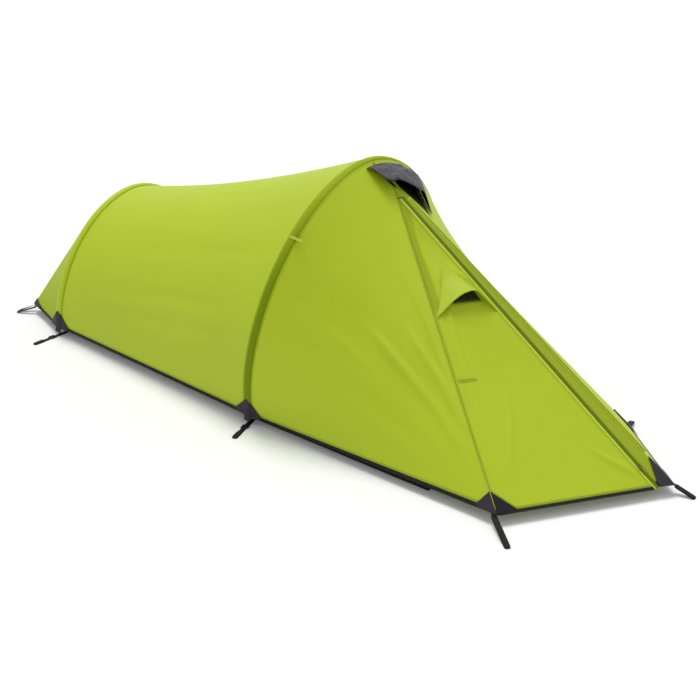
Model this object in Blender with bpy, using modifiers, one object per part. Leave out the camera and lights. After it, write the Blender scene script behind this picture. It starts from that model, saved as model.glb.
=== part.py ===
# Ultralight one-person hoop tent, pitched: a tunnel fly between a low rear hoop and a tall
# front hoop, a porch in front with a zipped door, and an inner tent with a tub floor.
# Metres, +Z up, +X towards the porch, -Y the door side. The origin is on the ground,
# on the centre line, at the feet of the front hoop.

import math

import bmesh
import bpy
import numpy as np
from mathutils import Matrix, Vector

# Cloth, tape and clearances
cloth = 0.0010              # fly and inner cloth
patch_cloth = 0.0010        # doubled cloth of the corner patches
tape = 0.0016               # folded hem binding
webbing = 0.0012            # flat webbing
gap = 0.0003                # clearance between neighbouring solids
cloth_joint = 0.0006        # mesh panels stop this far inside their opening
seam_gap = 0.0006           # each panel stops this far from a seam line
patch_lift = 0.0034         # middle of a corner patch above the middle of the cloth
foot_patch_lift = 0.0078    # the same over a sleeve

# Hoops, along the middle of the pole
hoop_power = 1.87           # 2 would be an ellipse, less is more pointed at the top
front_foot_x = 0.015
front_height = 0.8935
front_half_width = 0.546
front_widest_z = 0.21
front_lean = 0.139          # metres forward for each metre up
rear_distance = 1.181       # front hoop feet to rear hoop feet
rear_height = 0.546
rear_half_width = 0.426
rear_widest_z = 0.06
rear_lean = 0.052
front_steps = 36
rear_steps = 28

# Poles
pole_radius = 0.00425
pole_wall = 0.0009
pole_outset = 0.0007        # the pole presses on the outside of its sleeve
front_sections = 5
rear_sections = 3
ferrule_wall = 0.0007
ferrule_half_length = 0.040
cord_radius = 0.0010
pole_end_z = 0.0135

# Pole sleeves, sewn between the panels
sleeve_half_width = 0.015
sleeve_half_depth = 0.0065

# Fly
hem_height = 0.035
hem_tape_height = 0.012
door_tape_height = 0.007    # the door leans more, so its tape shows as wide as the rest
tunnel_sag = 0.034          # at the ridge, half way along
tunnel_side_sag = 0.012
rear_corner_reach = 0.283   # rear corners behind the rear hoop feet
rear_corner_half_width = 0.326
rear_rows = (0.0, 0.04, 0.09, 0.28, 0.52, 0.76, 1.0)  # of the rear end, hem to hoop
near_corner_x = 1.1325
near_corner_y = -0.542
tip_x = 1.452
far_corner_x = 1.115
far_corner_y = 0.288
vent_reach = 0.110          # top of the door, forward of the top of the hoop
vent_drop = 0.0605          # and below it
panel_top = 0.985           # share of a seam where the side panels stop
door_head = 0.929           # and where the door stops, under the hood
near_belly = 0.006          # the porch sides are drawn in by this much
door_belly = 0.008
vent_rows = 4               # stations of the far porch side that the top vent takes
vent_columns = 5
door_edge_overs = (0.0, 0.07, 0.14)   # columns of the door beside its seam
front_overs = (0.25, 0.5, 0.75, 1.0)  # columns of the front, ridge to far seam
head_gap = 0.0028           # share of the ridge between the door and the cloth above it
fold_depth = 0.004
fold_count = 5
fold_spread = 0.9            # radians that the ripples are counted over

# Door zip: it leaves the hem beside the tip and comes close to the ridge at the top
zip_foot_offset = 0.062
zip_top_offset = 0.014
chain_half_width = 0.003
zip_tape_width = 0.006
slider_start = 0.090        # up the zip from its foot, door shut
slider_length = 0.014
slider_width = 0.009
slider_height = 0.0030
ear_height = 0.0046
ear_thickness = 0.0012
puller_width = 0.0042
puller_length = 0.030
puller_thickness = 0.0014
flap_width = 0.016          # the storm flap, folded back over the ridge
flap_lean = 80.0            # degrees away from the door
flap_start = 0.10           # share of the ridge where it starts
flap_end = 0.925

# Door vent, in shares of the door: up from the hem, and across from the seam
vent_low = 0.602
vent_high = 0.635
vent_near = 0.36
vent_far = 0.88
awning_near = 0.015
awning_far = 0.985
awning_low = 0.562          # both ends of its rim, up from the hem
awning_rise = 0.125         # the arch where it is sewn on
awning_rim_rise = 0.052     # the arch of its rim
awning_crest = 0.75         # where both arches are highest, across the door
awning_stand = 0.042        # the rim stands this far off the door
awning_seat = 0.0014

# Hood over the top vent: rim points from the middle of the top of the front hoop
hood_rim = [
    (0.0725, -0.050, -0.0125),
    (0.1435, -0.050, -0.0410),
    (0.1490, 0.000, -0.0415),
    (0.1590, 0.070, -0.0825),
    (0.1625, 0.125, -0.1165),
]
hood_lift = 0.0022
hood_crown = 0.006
hood_near_step = 17.2       # stations of the front hoop where the hood starts and ends
hood_far_step = 22.6
hood_far_reach = 0.205      # along the cloth, to the far end of its rim
hood_back = 0.010           # in front of the sleeve

# Corner patches
patch_side = 0.080          # along the hem
patch_rise = 0.085          # up the seam
tip_patch_rise = 0.125
patch_end_rise = 0.014
rear_patch_rise = 0.034
foot_patch_side = 0.040
foot_patch_rise = 0.052
foot_tongue_drop = 0.018    # below the hem, down to the strap
foot_tongue_out = 0.006
foot_tongue_side = 0.15     # share of that drop beside the pole
front_hem_stops = (0.33, 0.67, 1.0)  # of the hem, far corner to tip
sleeve_drop = 0.003         # the hem tape dips this far under the end of a sleeve
rear_patch_side_rise = 0.022
rear_patch_ease = 0.0008    # the rear patches stand this much further off
patch_foot = 0.001          # patches start this far above the lower edge of the hem
patch_corner_start = 0.004
zip_patch_gap = 0.003       # the tip patch stops this far from the zip
foot_patch_shoulder = 0.011
foot_patch_step = 0.003     # from the edge of a sleeve to the patch lying on the cloth
hem_swell = ((-0.012, 0.0), (-0.005, 1.0), (0.005, 1.0), (0.012, 0.0))  # round a pole

# Webbing
loop_width = 0.020
loop_fold = 0.0035          # between the two layers of a folded loop
loop_inset = 0.006          # from the corner to the edge of its loop
loop_sewn = 0.018           # length under the patch
loop_below_hem = 0.002
loop_knee = (0.012, 0.010)  # out and down from the hem before the straight run
loop_tail = 0.004           # the upper layer ends this far past the knee
buckle_bar = 0.0020         # half the width of a bar
buckle_thickness = 0.0025
buckle_slot = 0.010
buckle_slot_outer = 0.006
buckle_rail = 0.0030
buckle_reach = 0.030        # pole to the first bar
buckle_corner = 0.0025
strap_bend = 0.0015         # the strap turns up or down this far from a bar
strap_bend_tight = 0.0008
strap_width = 0.020
strap_length = 0.140        # pole to the end of the loop
tail_length = 0.050
front_strap_lean = 0.37     # forward for each metre out
rear_strap_lean = 0.05
vee_width = 0.016
vee_drop = 0.010            # below the hem before its legs turn outwards
vee_sewn = 0.011            # and this far above it under the patch
vee_spread = 0.020          # from the corner to the middle of a leg
vee_turn = 0.0015           # half the hole at the stake
vee_ease = 0.3              # how far the sewn ends lean from the cloth towards the patch
near_loop_end = (1.241, -0.640)
tip_loop_end = (1.521, 0.021)
far_loop_end = (1.064, 0.392)
rear_loop_end = (-1.506, 0.381)
sleeve_loop_step = 11
sleeve_loop_reach = 0.050
sleeve_loop_sewn = (-0.010, 0.012)
sleeve_loop_dip = 0.002
tie_loop_rise = 0.375       # up the seam
tie_loop_radius = 0.0013
tie_loop_legs = [(0.008, 1.0), (0.035, 1.2), (0.062, 1.0), (0.072, 0.6), (0.076, 0.0)]
tie_loop_half_width = 0.0031

door_pieces = ("porch_door", "door_vent_mesh", "awning", "door_hem_tape", "door_zip_tape",
               "door_tie_loop")

# Inner tent
inner_clearance = 0.045     # inside the fly at the hoops
floor_wall = 0.070
floor_front_x = 0.825
floor_front_near_y = -0.505
floor_front_far_y = 0.262
floor_hoop_inset = 0.045    # inside the pole feet
floor_rear_reach = 0.232
floor_rear_half_width = 0.285
rim_front_inset = 0.035
rim_side_inset = 0.040
inner_sag = 0.020
inner_end_rows = (0.0, 0.33, 0.67)       # shares from the rear rim to the rear arch
inner_door_bars = (0.25, 0.45, 0.65)     # rows of the mesh door between its ends
inner_door_low = 0.06
inner_door_high = 0.80
inner_door_gap = 0.0012
inner_door_columns = (6, 12)
floor_far_setback = 0.020
inner_columns = 21
inner_side_columns = 6

up = np.array([0.0, 0.0, 1.0])
part_name = "ultralight_tent"


def clear_scene():
    for thing in list(bpy.data.objects):
        bpy.data.objects.remove(thing, do_unlink=True)


def new_collection(name):
    group = bpy.data.collections.new(name)
    bpy.context.scene.collection.children.link(group)


def finish_of(name, colour, roughness, metallic=0.0):
    """A Principled material with plain linear colour."""
    made = bpy.data.materials.new(name)
    made.use_nodes = True
    shader = made.node_tree.nodes["Principled BSDF"]
    shader.inputs["Base Color"].default_value = (*colour, 1.0)
    shader.inputs["Roughness"].default_value = roughness
    shader.inputs["Metallic"].default_value = metallic
    made.diffuse_color = (*colour, 1.0)
    return made


def unit(vector):
    vector = np.asarray(vector, float)
    return vector / np.linalg.norm(vector)


def mix(start, end, share):
    return np.asarray(start) * (1.0 - share) + np.asarray(end) * share


def add_object(name, data, finish):
    data.materials.clear()
    data.materials.append(finish)
    made = bpy.data.objects.new(name, data)
    bpy.data.collections[part_name].objects.link(made)
    return made


def mesh_from(name, points, faces):
    """A mesh with coincident points joined and unused points dropped."""
    mesh = bpy.data.meshes.new(name)
    mesh.from_pydata([tuple(map(float, p)) for p in points], [], faces)
    work = bmesh.new()
    work.from_mesh(mesh)
    bmesh.ops.remove_doubles(work, verts=work.verts, dist=0.00002)
    loose = [v for v in work.verts if not v.link_faces]
    bmesh.ops.delete(work, geom=loose, context="VERTS")
    work.to_mesh(mesh)
    work.free()
    return mesh


def grid_faces(rows, columns, first=0, wrap=False, skip=None):
    """Quads of a grid of points; skip leaves out the cells of a hole."""
    faces = []
    across = columns if wrap else columns - 1
    for r in range(rows - 1):
        for c in range(across):
            if skip and skip[0] <= r < skip[1] and skip[2] <= c < skip[3]:
                continue
            right = (c + 1) % columns
            corners = (r * columns + c, r * columns + right,
                       (r + 1) * columns + right, (r + 1) * columns + c)
            faces.append(tuple(first + k for k in corners))
    return faces


def sheet(name, grids, thickness, finish, wrap=False, skip=None, side=0.0):
    """One or more grids of points, thickened into closed sheets of cloth."""
    if not isinstance(grids, list):
        grids = [grids]
    points = []
    faces = []
    for grid in grids:
        rows, columns = grid.shape[:2]
        faces += grid_faces(rows, columns, len(points), wrap, skip)
        points += list(grid.reshape(-1, 3))
    made = add_object(name, mesh_from(name, points, faces), finish)
    wall = made.modifiers.new("thickness", "SOLIDIFY")
    wall.thickness = thickness
    wall.offset = side
    wall.use_even_offset = True
    return made


def tube(name, path, radius, finish, resolution=1):
    """A round bar along a path, with capped ends."""
    curve = bpy.data.curves.new(name, "CURVE")
    curve.dimensions = "3D"
    curve.bevel_depth = radius
    curve.bevel_resolution = resolution
    curve.use_fill_caps = True
    line = curve.splines.new("POLY")
    line.points.add(len(path) - 1)
    for point, place in zip(line.points, path):
        point.co = (*map(float, place), 1.0)
    add_object(name, curve, finish)


def bar_of(name, outlines, length, middle, axes, finish):
    """A straight bar with a drawn section; outlines after the first are its holes."""
    curve = bpy.data.curves.new(name, "CURVE")
    curve.dimensions = "2D"
    curve.fill_mode = "BOTH"
    curve.extrude = length / 2
    for outline in outlines:
        line = curve.splines.new("POLY")
        line.points.add(len(outline) - 1)
        line.use_cyclic_u = True
        for point, (x, y) in zip(line.points, outline):
            point.co = (x, y, 0.0, 1.0)
    made = add_object(name, curve, finish)
    turn = Matrix([tuple(map(float, a)) for a in axes]).transposed().to_4x4()
    made.matrix_world = Matrix.Translation(Vector(tuple(map(float, middle)))) @ turn


def offset_grid(grid, distance):
    """Moves each point off its sheet so that every face moves by the distance."""
    rows, columns = grid.shape[:2]
    moved = grid.copy()
    a = grid[:-1, :-1]
    b = grid[:-1, 1:]
    c = grid[1:, 1:]
    d = grid[1:, :-1]
    normals = np.cross(c - a, d - b)
    lengths = np.linalg.norm(normals, axis=2, keepdims=True)
    normals = normals / np.maximum(lengths, 1e-12)
    for r in range(rows):
        for k in range(columns):
            near = normals[max(r - 1, 0):r + 1, max(k - 1, 0):k + 1].reshape(-1, 3)
            step = np.linalg.pinv(near, rcond=0.15) @ np.full(len(near), distance)
            moved[r, k] = grid[r, k] + step
    return moved


# The hoops

def hoop_of(foot_x, height, half_width, widest_z, lean):
    return dict(foot_x=foot_x, height=height, half_width=half_width, widest_z=widest_z, lean=lean)


def raw_hoop(hoop, angles):
    """Superellipse: y and z are powers of the cosine and sine of the angle."""
    c = np.cos(angles)
    s = np.sin(angles)
    power = 2.0 / hoop_power
    y = -hoop["half_width"] * np.sign(c) * np.abs(c) ** power
    rise = hoop["height"] - hoop["widest_z"]
    z = hoop["widest_z"] + rise * np.sign(s) * np.abs(s) ** power
    return np.stack([hoop["foot_x"] + hoop["lean"] * z, y, z], axis=-1)


def angle_at(hoop, z):
    """Angle on the door side where the hoop passes a height."""
    share = (z - hoop["widest_z"]) / (hoop["height"] - hoop["widest_z"])
    return math.copysign(math.asin(min(1.0, abs(share) ** (hoop_power / 2.0))), share)


def hoop_normal(hoop):
    """Normal of the plane of the hoop, pointing forward."""
    return unit((1.0, 0.0, -hoop["lean"]))


def hoop_stations(hoop, steps, low_z):
    """Points at equal lengths round the hoop, and the outward direction at each."""
    start = angle_at(hoop, low_z)
    fine = np.linspace(start, math.pi - start, 4001)
    points = raw_hoop(hoop, fine)
    run = np.concatenate([[0.0], np.cumsum(np.linalg.norm(np.diff(points, axis=0), axis=1))])
    wanted = np.linspace(0.0, run[-1], steps + 1)
    places = np.stack([np.interp(wanted, run, points[:, k]) for k in range(3)], axis=1)
    slopes = np.gradient(points, axis=0)
    along = np.stack([np.interp(wanted, run, slopes[:, k]) for k in range(3)], axis=1)
    along /= np.linalg.norm(along, axis=1, keepdims=True)
    return places, np.cross(hoop_normal(hoop), along)


front_hoop = hoop_of(front_foot_x, front_height, front_half_width, front_widest_z, front_lean)
rear_hoop = hoop_of(front_foot_x - rear_distance, rear_height, rear_half_width, rear_widest_z,
                    rear_lean)
cloth_low_z = hem_height + hem_tape_height + gap
front_line, front_out = hoop_stations(front_hoop, front_steps, cloth_low_z)
rear_line, rear_out = hoop_stations(rear_hoop, front_steps, cloth_low_z)
rear_stations, rear_outward = hoop_stations(rear_hoop, rear_steps, cloth_low_z)
front_axis = hoop_normal(front_hoop)
rear_axis = hoop_normal(rear_hoop)
panel_edge = sleeve_half_width + gap
front_top = raw_hoop(front_hoop, np.array([math.pi / 2]))[0]
door_top = front_top + np.array([vent_reach, 0.0, -vent_drop])

near_corner = np.array([near_corner_x, near_corner_y, hem_height])
tip_corner = np.array([tip_x, 0.0, hem_height])
far_corner = np.array([far_corner_x, far_corner_y, hem_height])
rear_corner_x = rear_hoop["foot_x"] - rear_corner_reach
rear_near_corner = np.array([rear_corner_x, -rear_corner_half_width, hem_height])


def tunnel_point(shares, columns):
    """Cloth between the hoops: straight across, drawn in by the sag in the middle."""
    rear_edge = rear_line + rear_axis * panel_edge
    front_edge = front_line - front_axis * panel_edge
    pull = np.linspace(0.0, 1.0, len(front_line))
    depth = tunnel_side_sag + (tunnel_sag - tunnel_side_sag) * np.sin(math.pi * pull) ** 2
    depth = depth * np.minimum(1.0, 8.0 * np.minimum(pull, 1.0 - pull))
    rows = []
    for share in shares:
        row = mix(rear_edge, front_edge, share)
        out = mix(rear_out, front_out, share)
        row = row - out * (depth * 4.0 * share * (1.0 - share))[:, None]
        rows.append(row[::columns])
    return np.stack(rows)


def strip_between(low, high):
    """Grid of two rows of points."""
    return np.stack([np.asarray(low), np.asarray(high)])


def line_points(start, end, count):
    return np.stack([mix(start, end, k / (count - 1)) for k in range(count)])


def make_finishes():
    return dict(
        fly=finish_of("Fly cloth", (0.38, 0.49, 0.04), 0.45),
        hood=finish_of("Hood cloth", (0.14, 0.14, 0.16), 0.6),
        patch=finish_of("Patch cloth", (0.025, 0.023, 0.03), 0.7),
        tape=finish_of("Hem tape", (0.012, 0.012, 0.013), 0.75),
        webbing=finish_of("Webbing", (0.01, 0.01, 0.011), 0.8),
        mesh=finish_of("Insect mesh", (0.02, 0.02, 0.022), 0.9),
        inner=finish_of("Inner cloth", (0.55, 0.56, 0.55), 0.7),
        floor=finish_of("Floor cloth", (0.015, 0.015, 0.016), 0.55),
        pole=finish_of("Pole aluminium", (0.55, 0.56, 0.58), 0.35, 1.0),
        acetal=finish_of("Buckle acetal", (0.012, 0.012, 0.012), 0.35),
        zipper=finish_of("Zip", (0.12, 0.16, 0.02), 0.6),
        elastic=finish_of("Shock cord", (0.3, 0.3, 0.3), 0.8),
        green_cord=finish_of("Loop cord", (0.33, 0.45, 0.05), 0.6),
    )


# Poles and sleeves

def sleeve(name, hoop, line, out, finish):
    """An oval tube of cloth along the hoop, open at both feet."""
    axis = hoop_normal(hoop)
    around = np.linspace(0.0, 2.0 * math.pi, 8, endpoint=False)
    rings = []
    for point, outward in zip(line, out):
        ring = [point + axis * math.cos(a) * sleeve_half_width
                + outward * math.sin(a) * sleeve_half_depth for a in around]
        rings.append(ring)
    sheet(name, np.array(rings)[:, ::-1], cloth, finish, wrap=True, side=-1.0)


def pole_path(hoop, line, out):
    """The stations of the sleeve, with the foot of the pole at each end."""
    foot = raw_hoop(hoop, np.array([angle_at(hoop, pole_end_z)]))[0]
    far_foot = foot * np.array([1.0, -1.0, 1.0])
    near = foot + out[0] * pole_outset
    far = far_foot + out[-1] * pole_outset
    return np.concatenate([[near], line + out * pole_outset, [far]])


def run_of(path):
    steps = np.linalg.norm(np.diff(path, axis=0), axis=1)
    return np.concatenate([[0.0], np.cumsum(steps)])


def cut_path(path, start, end):
    """The stretch of a path between two lengths along it."""
    run = run_of(path)
    inside = path[(run > start + 1e-4) & (run < end - 1e-4)]
    ends = [np.array([np.interp(s, run, path[:, k]) for k in range(3)]) for s in (start, end)]
    return np.concatenate([[ends[0]], inside, [ends[1]]])


def rings_along(path, axis, radius):
    """Eight-sided rings round a path that lies in the plane square to the axis."""
    along = np.gradient(path, axis=0)
    along /= np.linalg.norm(along, axis=1, keepdims=True)
    out = np.cross(axis, along)
    around = np.linspace(0.0, 2.0 * math.pi, 8, endpoint=False)
    rings = [path + axis * math.cos(a) * radius + out * math.sin(a) * radius for a in around]
    return np.stack(rings, axis=1)


def pole_section(name, path, axis, start, end, ferrule, finish):
    """A tube; the ferrule that holds the next section is fixed in its far end."""
    bore = pole_radius - pole_wall
    narrow = bore - gap
    rings = [rings_along(cut_path(path, start, end), axis, pole_radius)]
    if ferrule:
        reach = cut_path(path, end, end + ferrule_half_length)
        rings.append(rings_along(reach, axis, narrow))
        reach = cut_path(path, end - ferrule_half_length, end + ferrule_half_length)
        rings.append(rings_along(reach, axis, narrow - ferrule_wall)[::-1])
        end = end - ferrule_half_length
    rings.append(rings_along(cut_path(path, start, end), axis, bore)[::-1])
    skin = np.concatenate(rings)
    skin = np.concatenate([skin, skin[:1]])
    faces = grid_faces(skin.shape[0], skin.shape[1], wrap=True)
    mesh = mesh_from(name, skin.reshape(-1, 3), faces)
    add_object(name, faced_out(mesh), finish)


def faced_out(mesh):
    work = bmesh.new()
    work.from_mesh(mesh)
    bmesh.ops.recalc_face_normals(work, faces=work.faces)
    work.to_mesh(mesh)
    work.free()
    return mesh


def pole(label, hoop, line, out, sections, finishes):
    path = pole_path(hoop, line, out)
    axis = hoop_normal(hoop)
    length = run_of(path)[-1]
    piece = length / sections
    for k in range(sections):
        start = k * piece + (gap / 2 if k else 0.0)
        last = k == sections - 1
        end = (k + 1) * piece - (0.0 if last else gap / 2)
        pole_section(f"{label}_pole_section_{k + 1}", path, axis, start, end, not last,
                     finishes["pole"])
    tube(f"{label}_pole_shock_cord", cut_path(path, gap, length - gap), cord_radius,
         finishes["elastic"], 1)
    for side, end, near in (("near", path[0], path[1]), ("far", path[-1], path[-2])):
        down = unit(end - near)
        tilt = math.hypot(down[0], down[1]) * pole_radius
        reach = (end[2] - webbing - gap - tilt) / -down[2]
        tube(f"{label}_pole_tip_{side}", [end + down * gap, end + down * reach], pole_radius,
             finishes["acetal"], 1)


# Fly

def tunnel_fly(finishes):
    grid = tunnel_point(np.linspace(0.0, 1.0, 13), 1)
    sheet("tunnel_fly", grid, cloth, finishes["fly"])


def rear_hem(z):
    """The hem of the rear end at one height, from the near foot of the hoop to the far one."""
    side_steps = rear_steps * 2 // 7
    near = hem_at(rear_hoop, z, -panel_edge, -1.0)
    far = near * np.array([1.0, -1.0, 1.0])
    lean = rear_corner_reach * (z - hem_height) / rear_height
    near_c = rear_near_corner + np.array([lean, lean * 0.3, z - hem_height])
    far_c = near_c * np.array([1.0, -1.0, 1.0])
    first = line_points(near, near_c, side_steps + 1)[:-1]
    middle = line_points(near_c, far_c, rear_steps - 2 * side_steps + 1)
    last = line_points(far_c, far, side_steps + 1)[1:]
    return np.concatenate([first, middle, last])


def rear_fly(finishes):
    low = rear_hem(cloth_low_z)
    top = rear_stations - rear_axis * panel_edge
    grid = np.stack([mix(low, top, s) for s in rear_rows])
    sheet("rear_fly_panel", grid, cloth, finishes["fly"])


def fan_folds(grid, corner, outward, window):
    """Ripples that run out of a corner: a sine of the angle round that corner."""
    reach = grid - corner
    flat = np.hypot(reach[..., 0], reach[..., 1])
    angle = np.arctan2(reach[..., 2], flat)
    wave = np.sin(angle * fold_count * 2.0 * math.pi / fold_spread)
    return grid + outward * (wave * window * fold_depth)[..., None]


def side_lines(side):
    """Hoop edge and seam of a side panel of the porch, one point for each station."""
    count = front_steps // 2 + 1
    steps = np.arange(count) if side < 0 else np.arange(front_steps, front_steps - count, -1)
    corner = near_corner if side < 0 else far_corner
    edge = front_line[steps] + front_axis * panel_edge
    edge[-1, 1] += side * seam_gap
    start = (cloth_low_z - hem_height) / (door_top[2] - hem_height)
    shares = np.linspace(start, panel_top, count)
    seam = np.stack([mix(corner, door_top, s) for s in shares])
    span = np.linalg.norm(seam - edge, axis=1, keepdims=True)
    return edge, mix(edge, seam, 1.0 - seam_gap / span)


def side_grid(side, overs, belly):
    """Cloth from half of the front hoop to the straight seam of that side."""
    edge, seam = side_lines(side)
    grid = np.stack([mix(edge, seam, s) for s in overs], axis=1)
    outward = unit(np.cross(seam[0] - edge[0], up)) * -side
    if outward[1] * side < 0:
        outward = -outward
    rise = np.linspace(0.0, 1.0, len(edge))[:, None]
    over = np.asarray(overs)[None, :]
    window = np.sin(math.pi * rise) * 4.0 * over * (1.0 - over)
    grid = grid - outward * (belly * window)[..., None]
    return fan_folds(grid, near_corner if side < 0 else far_corner, outward, window)


def shrunk(grid, margin):
    """The grid with its four edges drawn in by a margin."""
    small = grid.copy()
    for edge, inner in ((0, 1), (-1, -2)):
        step = grid[inner] - grid[edge]
        small[edge] = grid[edge] + step / np.linalg.norm(step, axis=1, keepdims=True) * margin
    base = small.copy()
    for edge, inner in ((0, 1), (-1, -2)):
        step = base[:, inner] - base[:, edge]
        length = np.linalg.norm(step, axis=1, keepdims=True)
        small[:, edge] = base[:, edge] + step / length * margin
    return small


def porch_sides(finishes):
    near = side_grid(-1.0, np.linspace(0.0, 1.0, 10), near_belly)
    sheet("near_porch_panel", near, cloth, finishes["fly"])
    far = side_grid(1.0, np.linspace(0.0, 1.0, 8), near_belly)
    count = len(far)
    low, high = count - 1 - vent_rows, count - 1
    hole = (low, high - 1, 1, vent_columns)
    sheet("far_porch_panel", far, cloth, finishes["fly"], skip=hole)
    patch = far[hole[0]:hole[1] + 1, hole[2]:hole[3] + 1]
    sheet("top_vent_mesh", shrunk(patch, cloth_joint), cloth, finishes["mesh"])


def zip_line(rise):
    """A point on the middle of the zip; rise 0 is the hem, 1 the top of the door."""
    ridge = mix(tip_corner, door_top, rise)
    side = unit(near_corner - tip_corner)
    return ridge + side * (zip_foot_offset * (1.0 - rise) + zip_top_offset * rise)


def facing(vector, hint):
    vector = unit(vector)
    return vector if np.dot(vector, hint) > 0 else -vector


door_normal = facing(np.cross(near_corner - tip_corner, door_top - tip_corner), (1, -1, 1))
front_normal = facing(np.cross(far_corner - tip_corner, door_top - tip_corner), (1, 1, 1))
zip_along = unit(zip_line(1.0) - zip_line(0.0))
zip_across = facing(np.cross(door_normal, zip_along), (0, -1, 0))
zip_edge = chain_half_width + gap + zip_tape_width
zip_half = zip_edge + gap
cloth_low = (cloth_low_z - hem_height) / (door_top[2] - hem_height)
door_low = (door_tape_height + gap) / (door_top[2] - hem_height)
zip_start = zip_line(0.0)
zip_length = float(np.linalg.norm(zip_line(door_head) - zip_start))


def on_zip(along, across, lift):
    """A point by its length up the zip, its place across it and its height above the cloth."""
    return zip_start + zip_along * along + zip_across * across + door_normal * lift


def door_low_rise(over):
    """The cloth of the door starts above the hem, and above the patch at its near corner."""
    reach = over * np.linalg.norm(tip_corner - near_corner) / patch_side
    corner = patch_rise / np.linalg.norm(door_top - near_corner)
    return max(door_low, mix(corner, door_low, min(1.0, reach)))


def door_point(rise, over):
    """A point of the door: rise from the hem, over from the seam to the zip."""
    seam = mix(near_corner, door_top, rise)
    edge = zip_line(rise) + zip_across * zip_half
    run = edge - seam
    start = seam_gap / np.linalg.norm(run)
    return seam + run * (start + (1.0 - start) * over)


def door_sag(rise, over):
    """How far the door is drawn in: most in the middle, nil at every edge and at the vent."""
    if rise < vent_low:
        share = (vent_low - rise) / (vent_low - door_low)
    else:
        share = (rise - vent_high) / (door_head - vent_high)
    share = min(1.0, max(0.0, share))
    return door_belly * math.sin(math.pi * share) * 4.0 * over * (1.0 - over)


def above_door(rise, over, lift):
    return door_point(rise, over) + door_normal * (lift - door_sag(rise, over))


def door_grid():
    """Rows from the hem, or from the corner patch, to the head of the door."""
    rises = np.concatenate([np.linspace(0.0, 1.0, 7) * (vent_low - door_low) + door_low,
                            [vent_high], np.linspace(vent_high, door_head, 6)[1:]])
    overs = np.concatenate([door_edge_overs, [vent_near],
                            np.linspace(vent_near, vent_far, 6)[1:],
                            np.linspace(vent_far, 1.0, 3)[1:]])
    rows = []
    for k, rise in enumerate(rises):
        row = []
        for over in overs:
            lowest = door_low_rise(over)
            place = lowest + (vent_low - lowest) * k / 6.0 if k < 6 else rise
            row.append(above_door(place, over, 0.0))
        rows.append(row)
    return np.array(rows), overs


def door(finishes):
    grid, overs = door_grid()
    first = int(np.argmin(abs(overs - vent_near)))
    last = int(np.argmin(abs(overs - vent_far)))
    hole = (6, 7, first, last)
    sheet("porch_door", grid, cloth, finishes["fly"], skip=hole)
    patch = grid[hole[0]:hole[1] + 1, hole[2]:hole[3] + 1]
    sheet("door_vent_mesh", shrunk(patch, cloth_joint), cloth, finishes["mesh"])
    rises = [door_low_rise(o) - door_low + door_tape_height / (door_top[2] - hem_height)
             for o in overs]
    low = np.array([door_point(0.0, o) for o in overs])
    high = np.array([door_point(r, o) for r, o in zip(rises, overs)])
    sheet("door_hem_tape", np.stack([low, high]), tape, finishes["patch"])
    edge = (chain_half_width + gap, zip_edge)
    grid = np.array([[on_zip(a, w, 0.0) for w in edge] for a in (0.0, zip_length)])
    sheet("door_zip_tape", grid, tape, finishes["fly"])


def zip_parts(finishes):
    edge = (-zip_edge, chain_half_width)
    grid = np.array([[on_zip(a, w, 0.0) for w in edge] for a in (0.0, zip_length)])
    sheet("zip_chain", grid, tape, finishes["zipper"])


def front_panel(finishes):
    """Cloth from the zip over the ridge to the far seam, and over the head of the door."""
    low = np.linspace(cloth_low, door_head, 12)
    rises = np.concatenate([low, [door_head + head_gap, panel_top]])
    rows = []
    for rise in rises:
        ridge = mix(tip_corner, door_top, rise)
        seam = mix(far_corner, door_top, rise)
        seam = mix(ridge, seam, 1.0 - seam_gap / np.linalg.norm(seam - ridge))
        if rise > door_head:
            start = mix(near_corner, door_top, rise)
            start = mix(ridge, start, 1.0 - seam_gap / np.linalg.norm(start - ridge))
        else:
            start = zip_line(rise) - zip_across * zip_half
        rows.append([start, ridge] + [mix(ridge, seam, s) for s in front_overs])
    sheet("front_porch_panel", np.array(rows), cloth, finishes["fly"])


def storm_flap(finishes):
    stand = unit(door_normal + front_normal)
    lean = math.radians(flap_lean)
    away = facing(np.cross(stand, zip_along), (0, 1, 0))
    tall = stand * math.cos(lean) + away * math.sin(lean)
    seat = cloth + gap
    rows = []
    for share in np.linspace(flap_start, flap_end, 9):
        foot = mix(tip_corner, door_top, share) + stand * seat
        rows.append([foot, foot + tall * flap_width / 2, foot + tall * flap_width])
    sheet("storm_flap", np.array(rows), cloth, finishes["fly"])


# Hem

def hem_at(hoop, z, axial, side):
    """A point of the hem beside a hoop."""
    point = raw_hoop(hoop, np.array([angle_at(hoop, z)]))[0]
    point[1] *= -side
    return point + hoop_normal(hoop) * axial


def pole_pass(hoop, z, side):
    """The hem where it passes outside the foot of a pole, from its rear to its front."""
    clear = pole_radius + pole_outset + gap + tape / 2
    outward = np.array([0.0, side, 0.0])
    z = min(z, hem_height + hem_tape_height - sleeve_drop)
    return [hem_at(hoop, z, axial, side) + outward * clear * share for axial, share in hem_swell]


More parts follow.
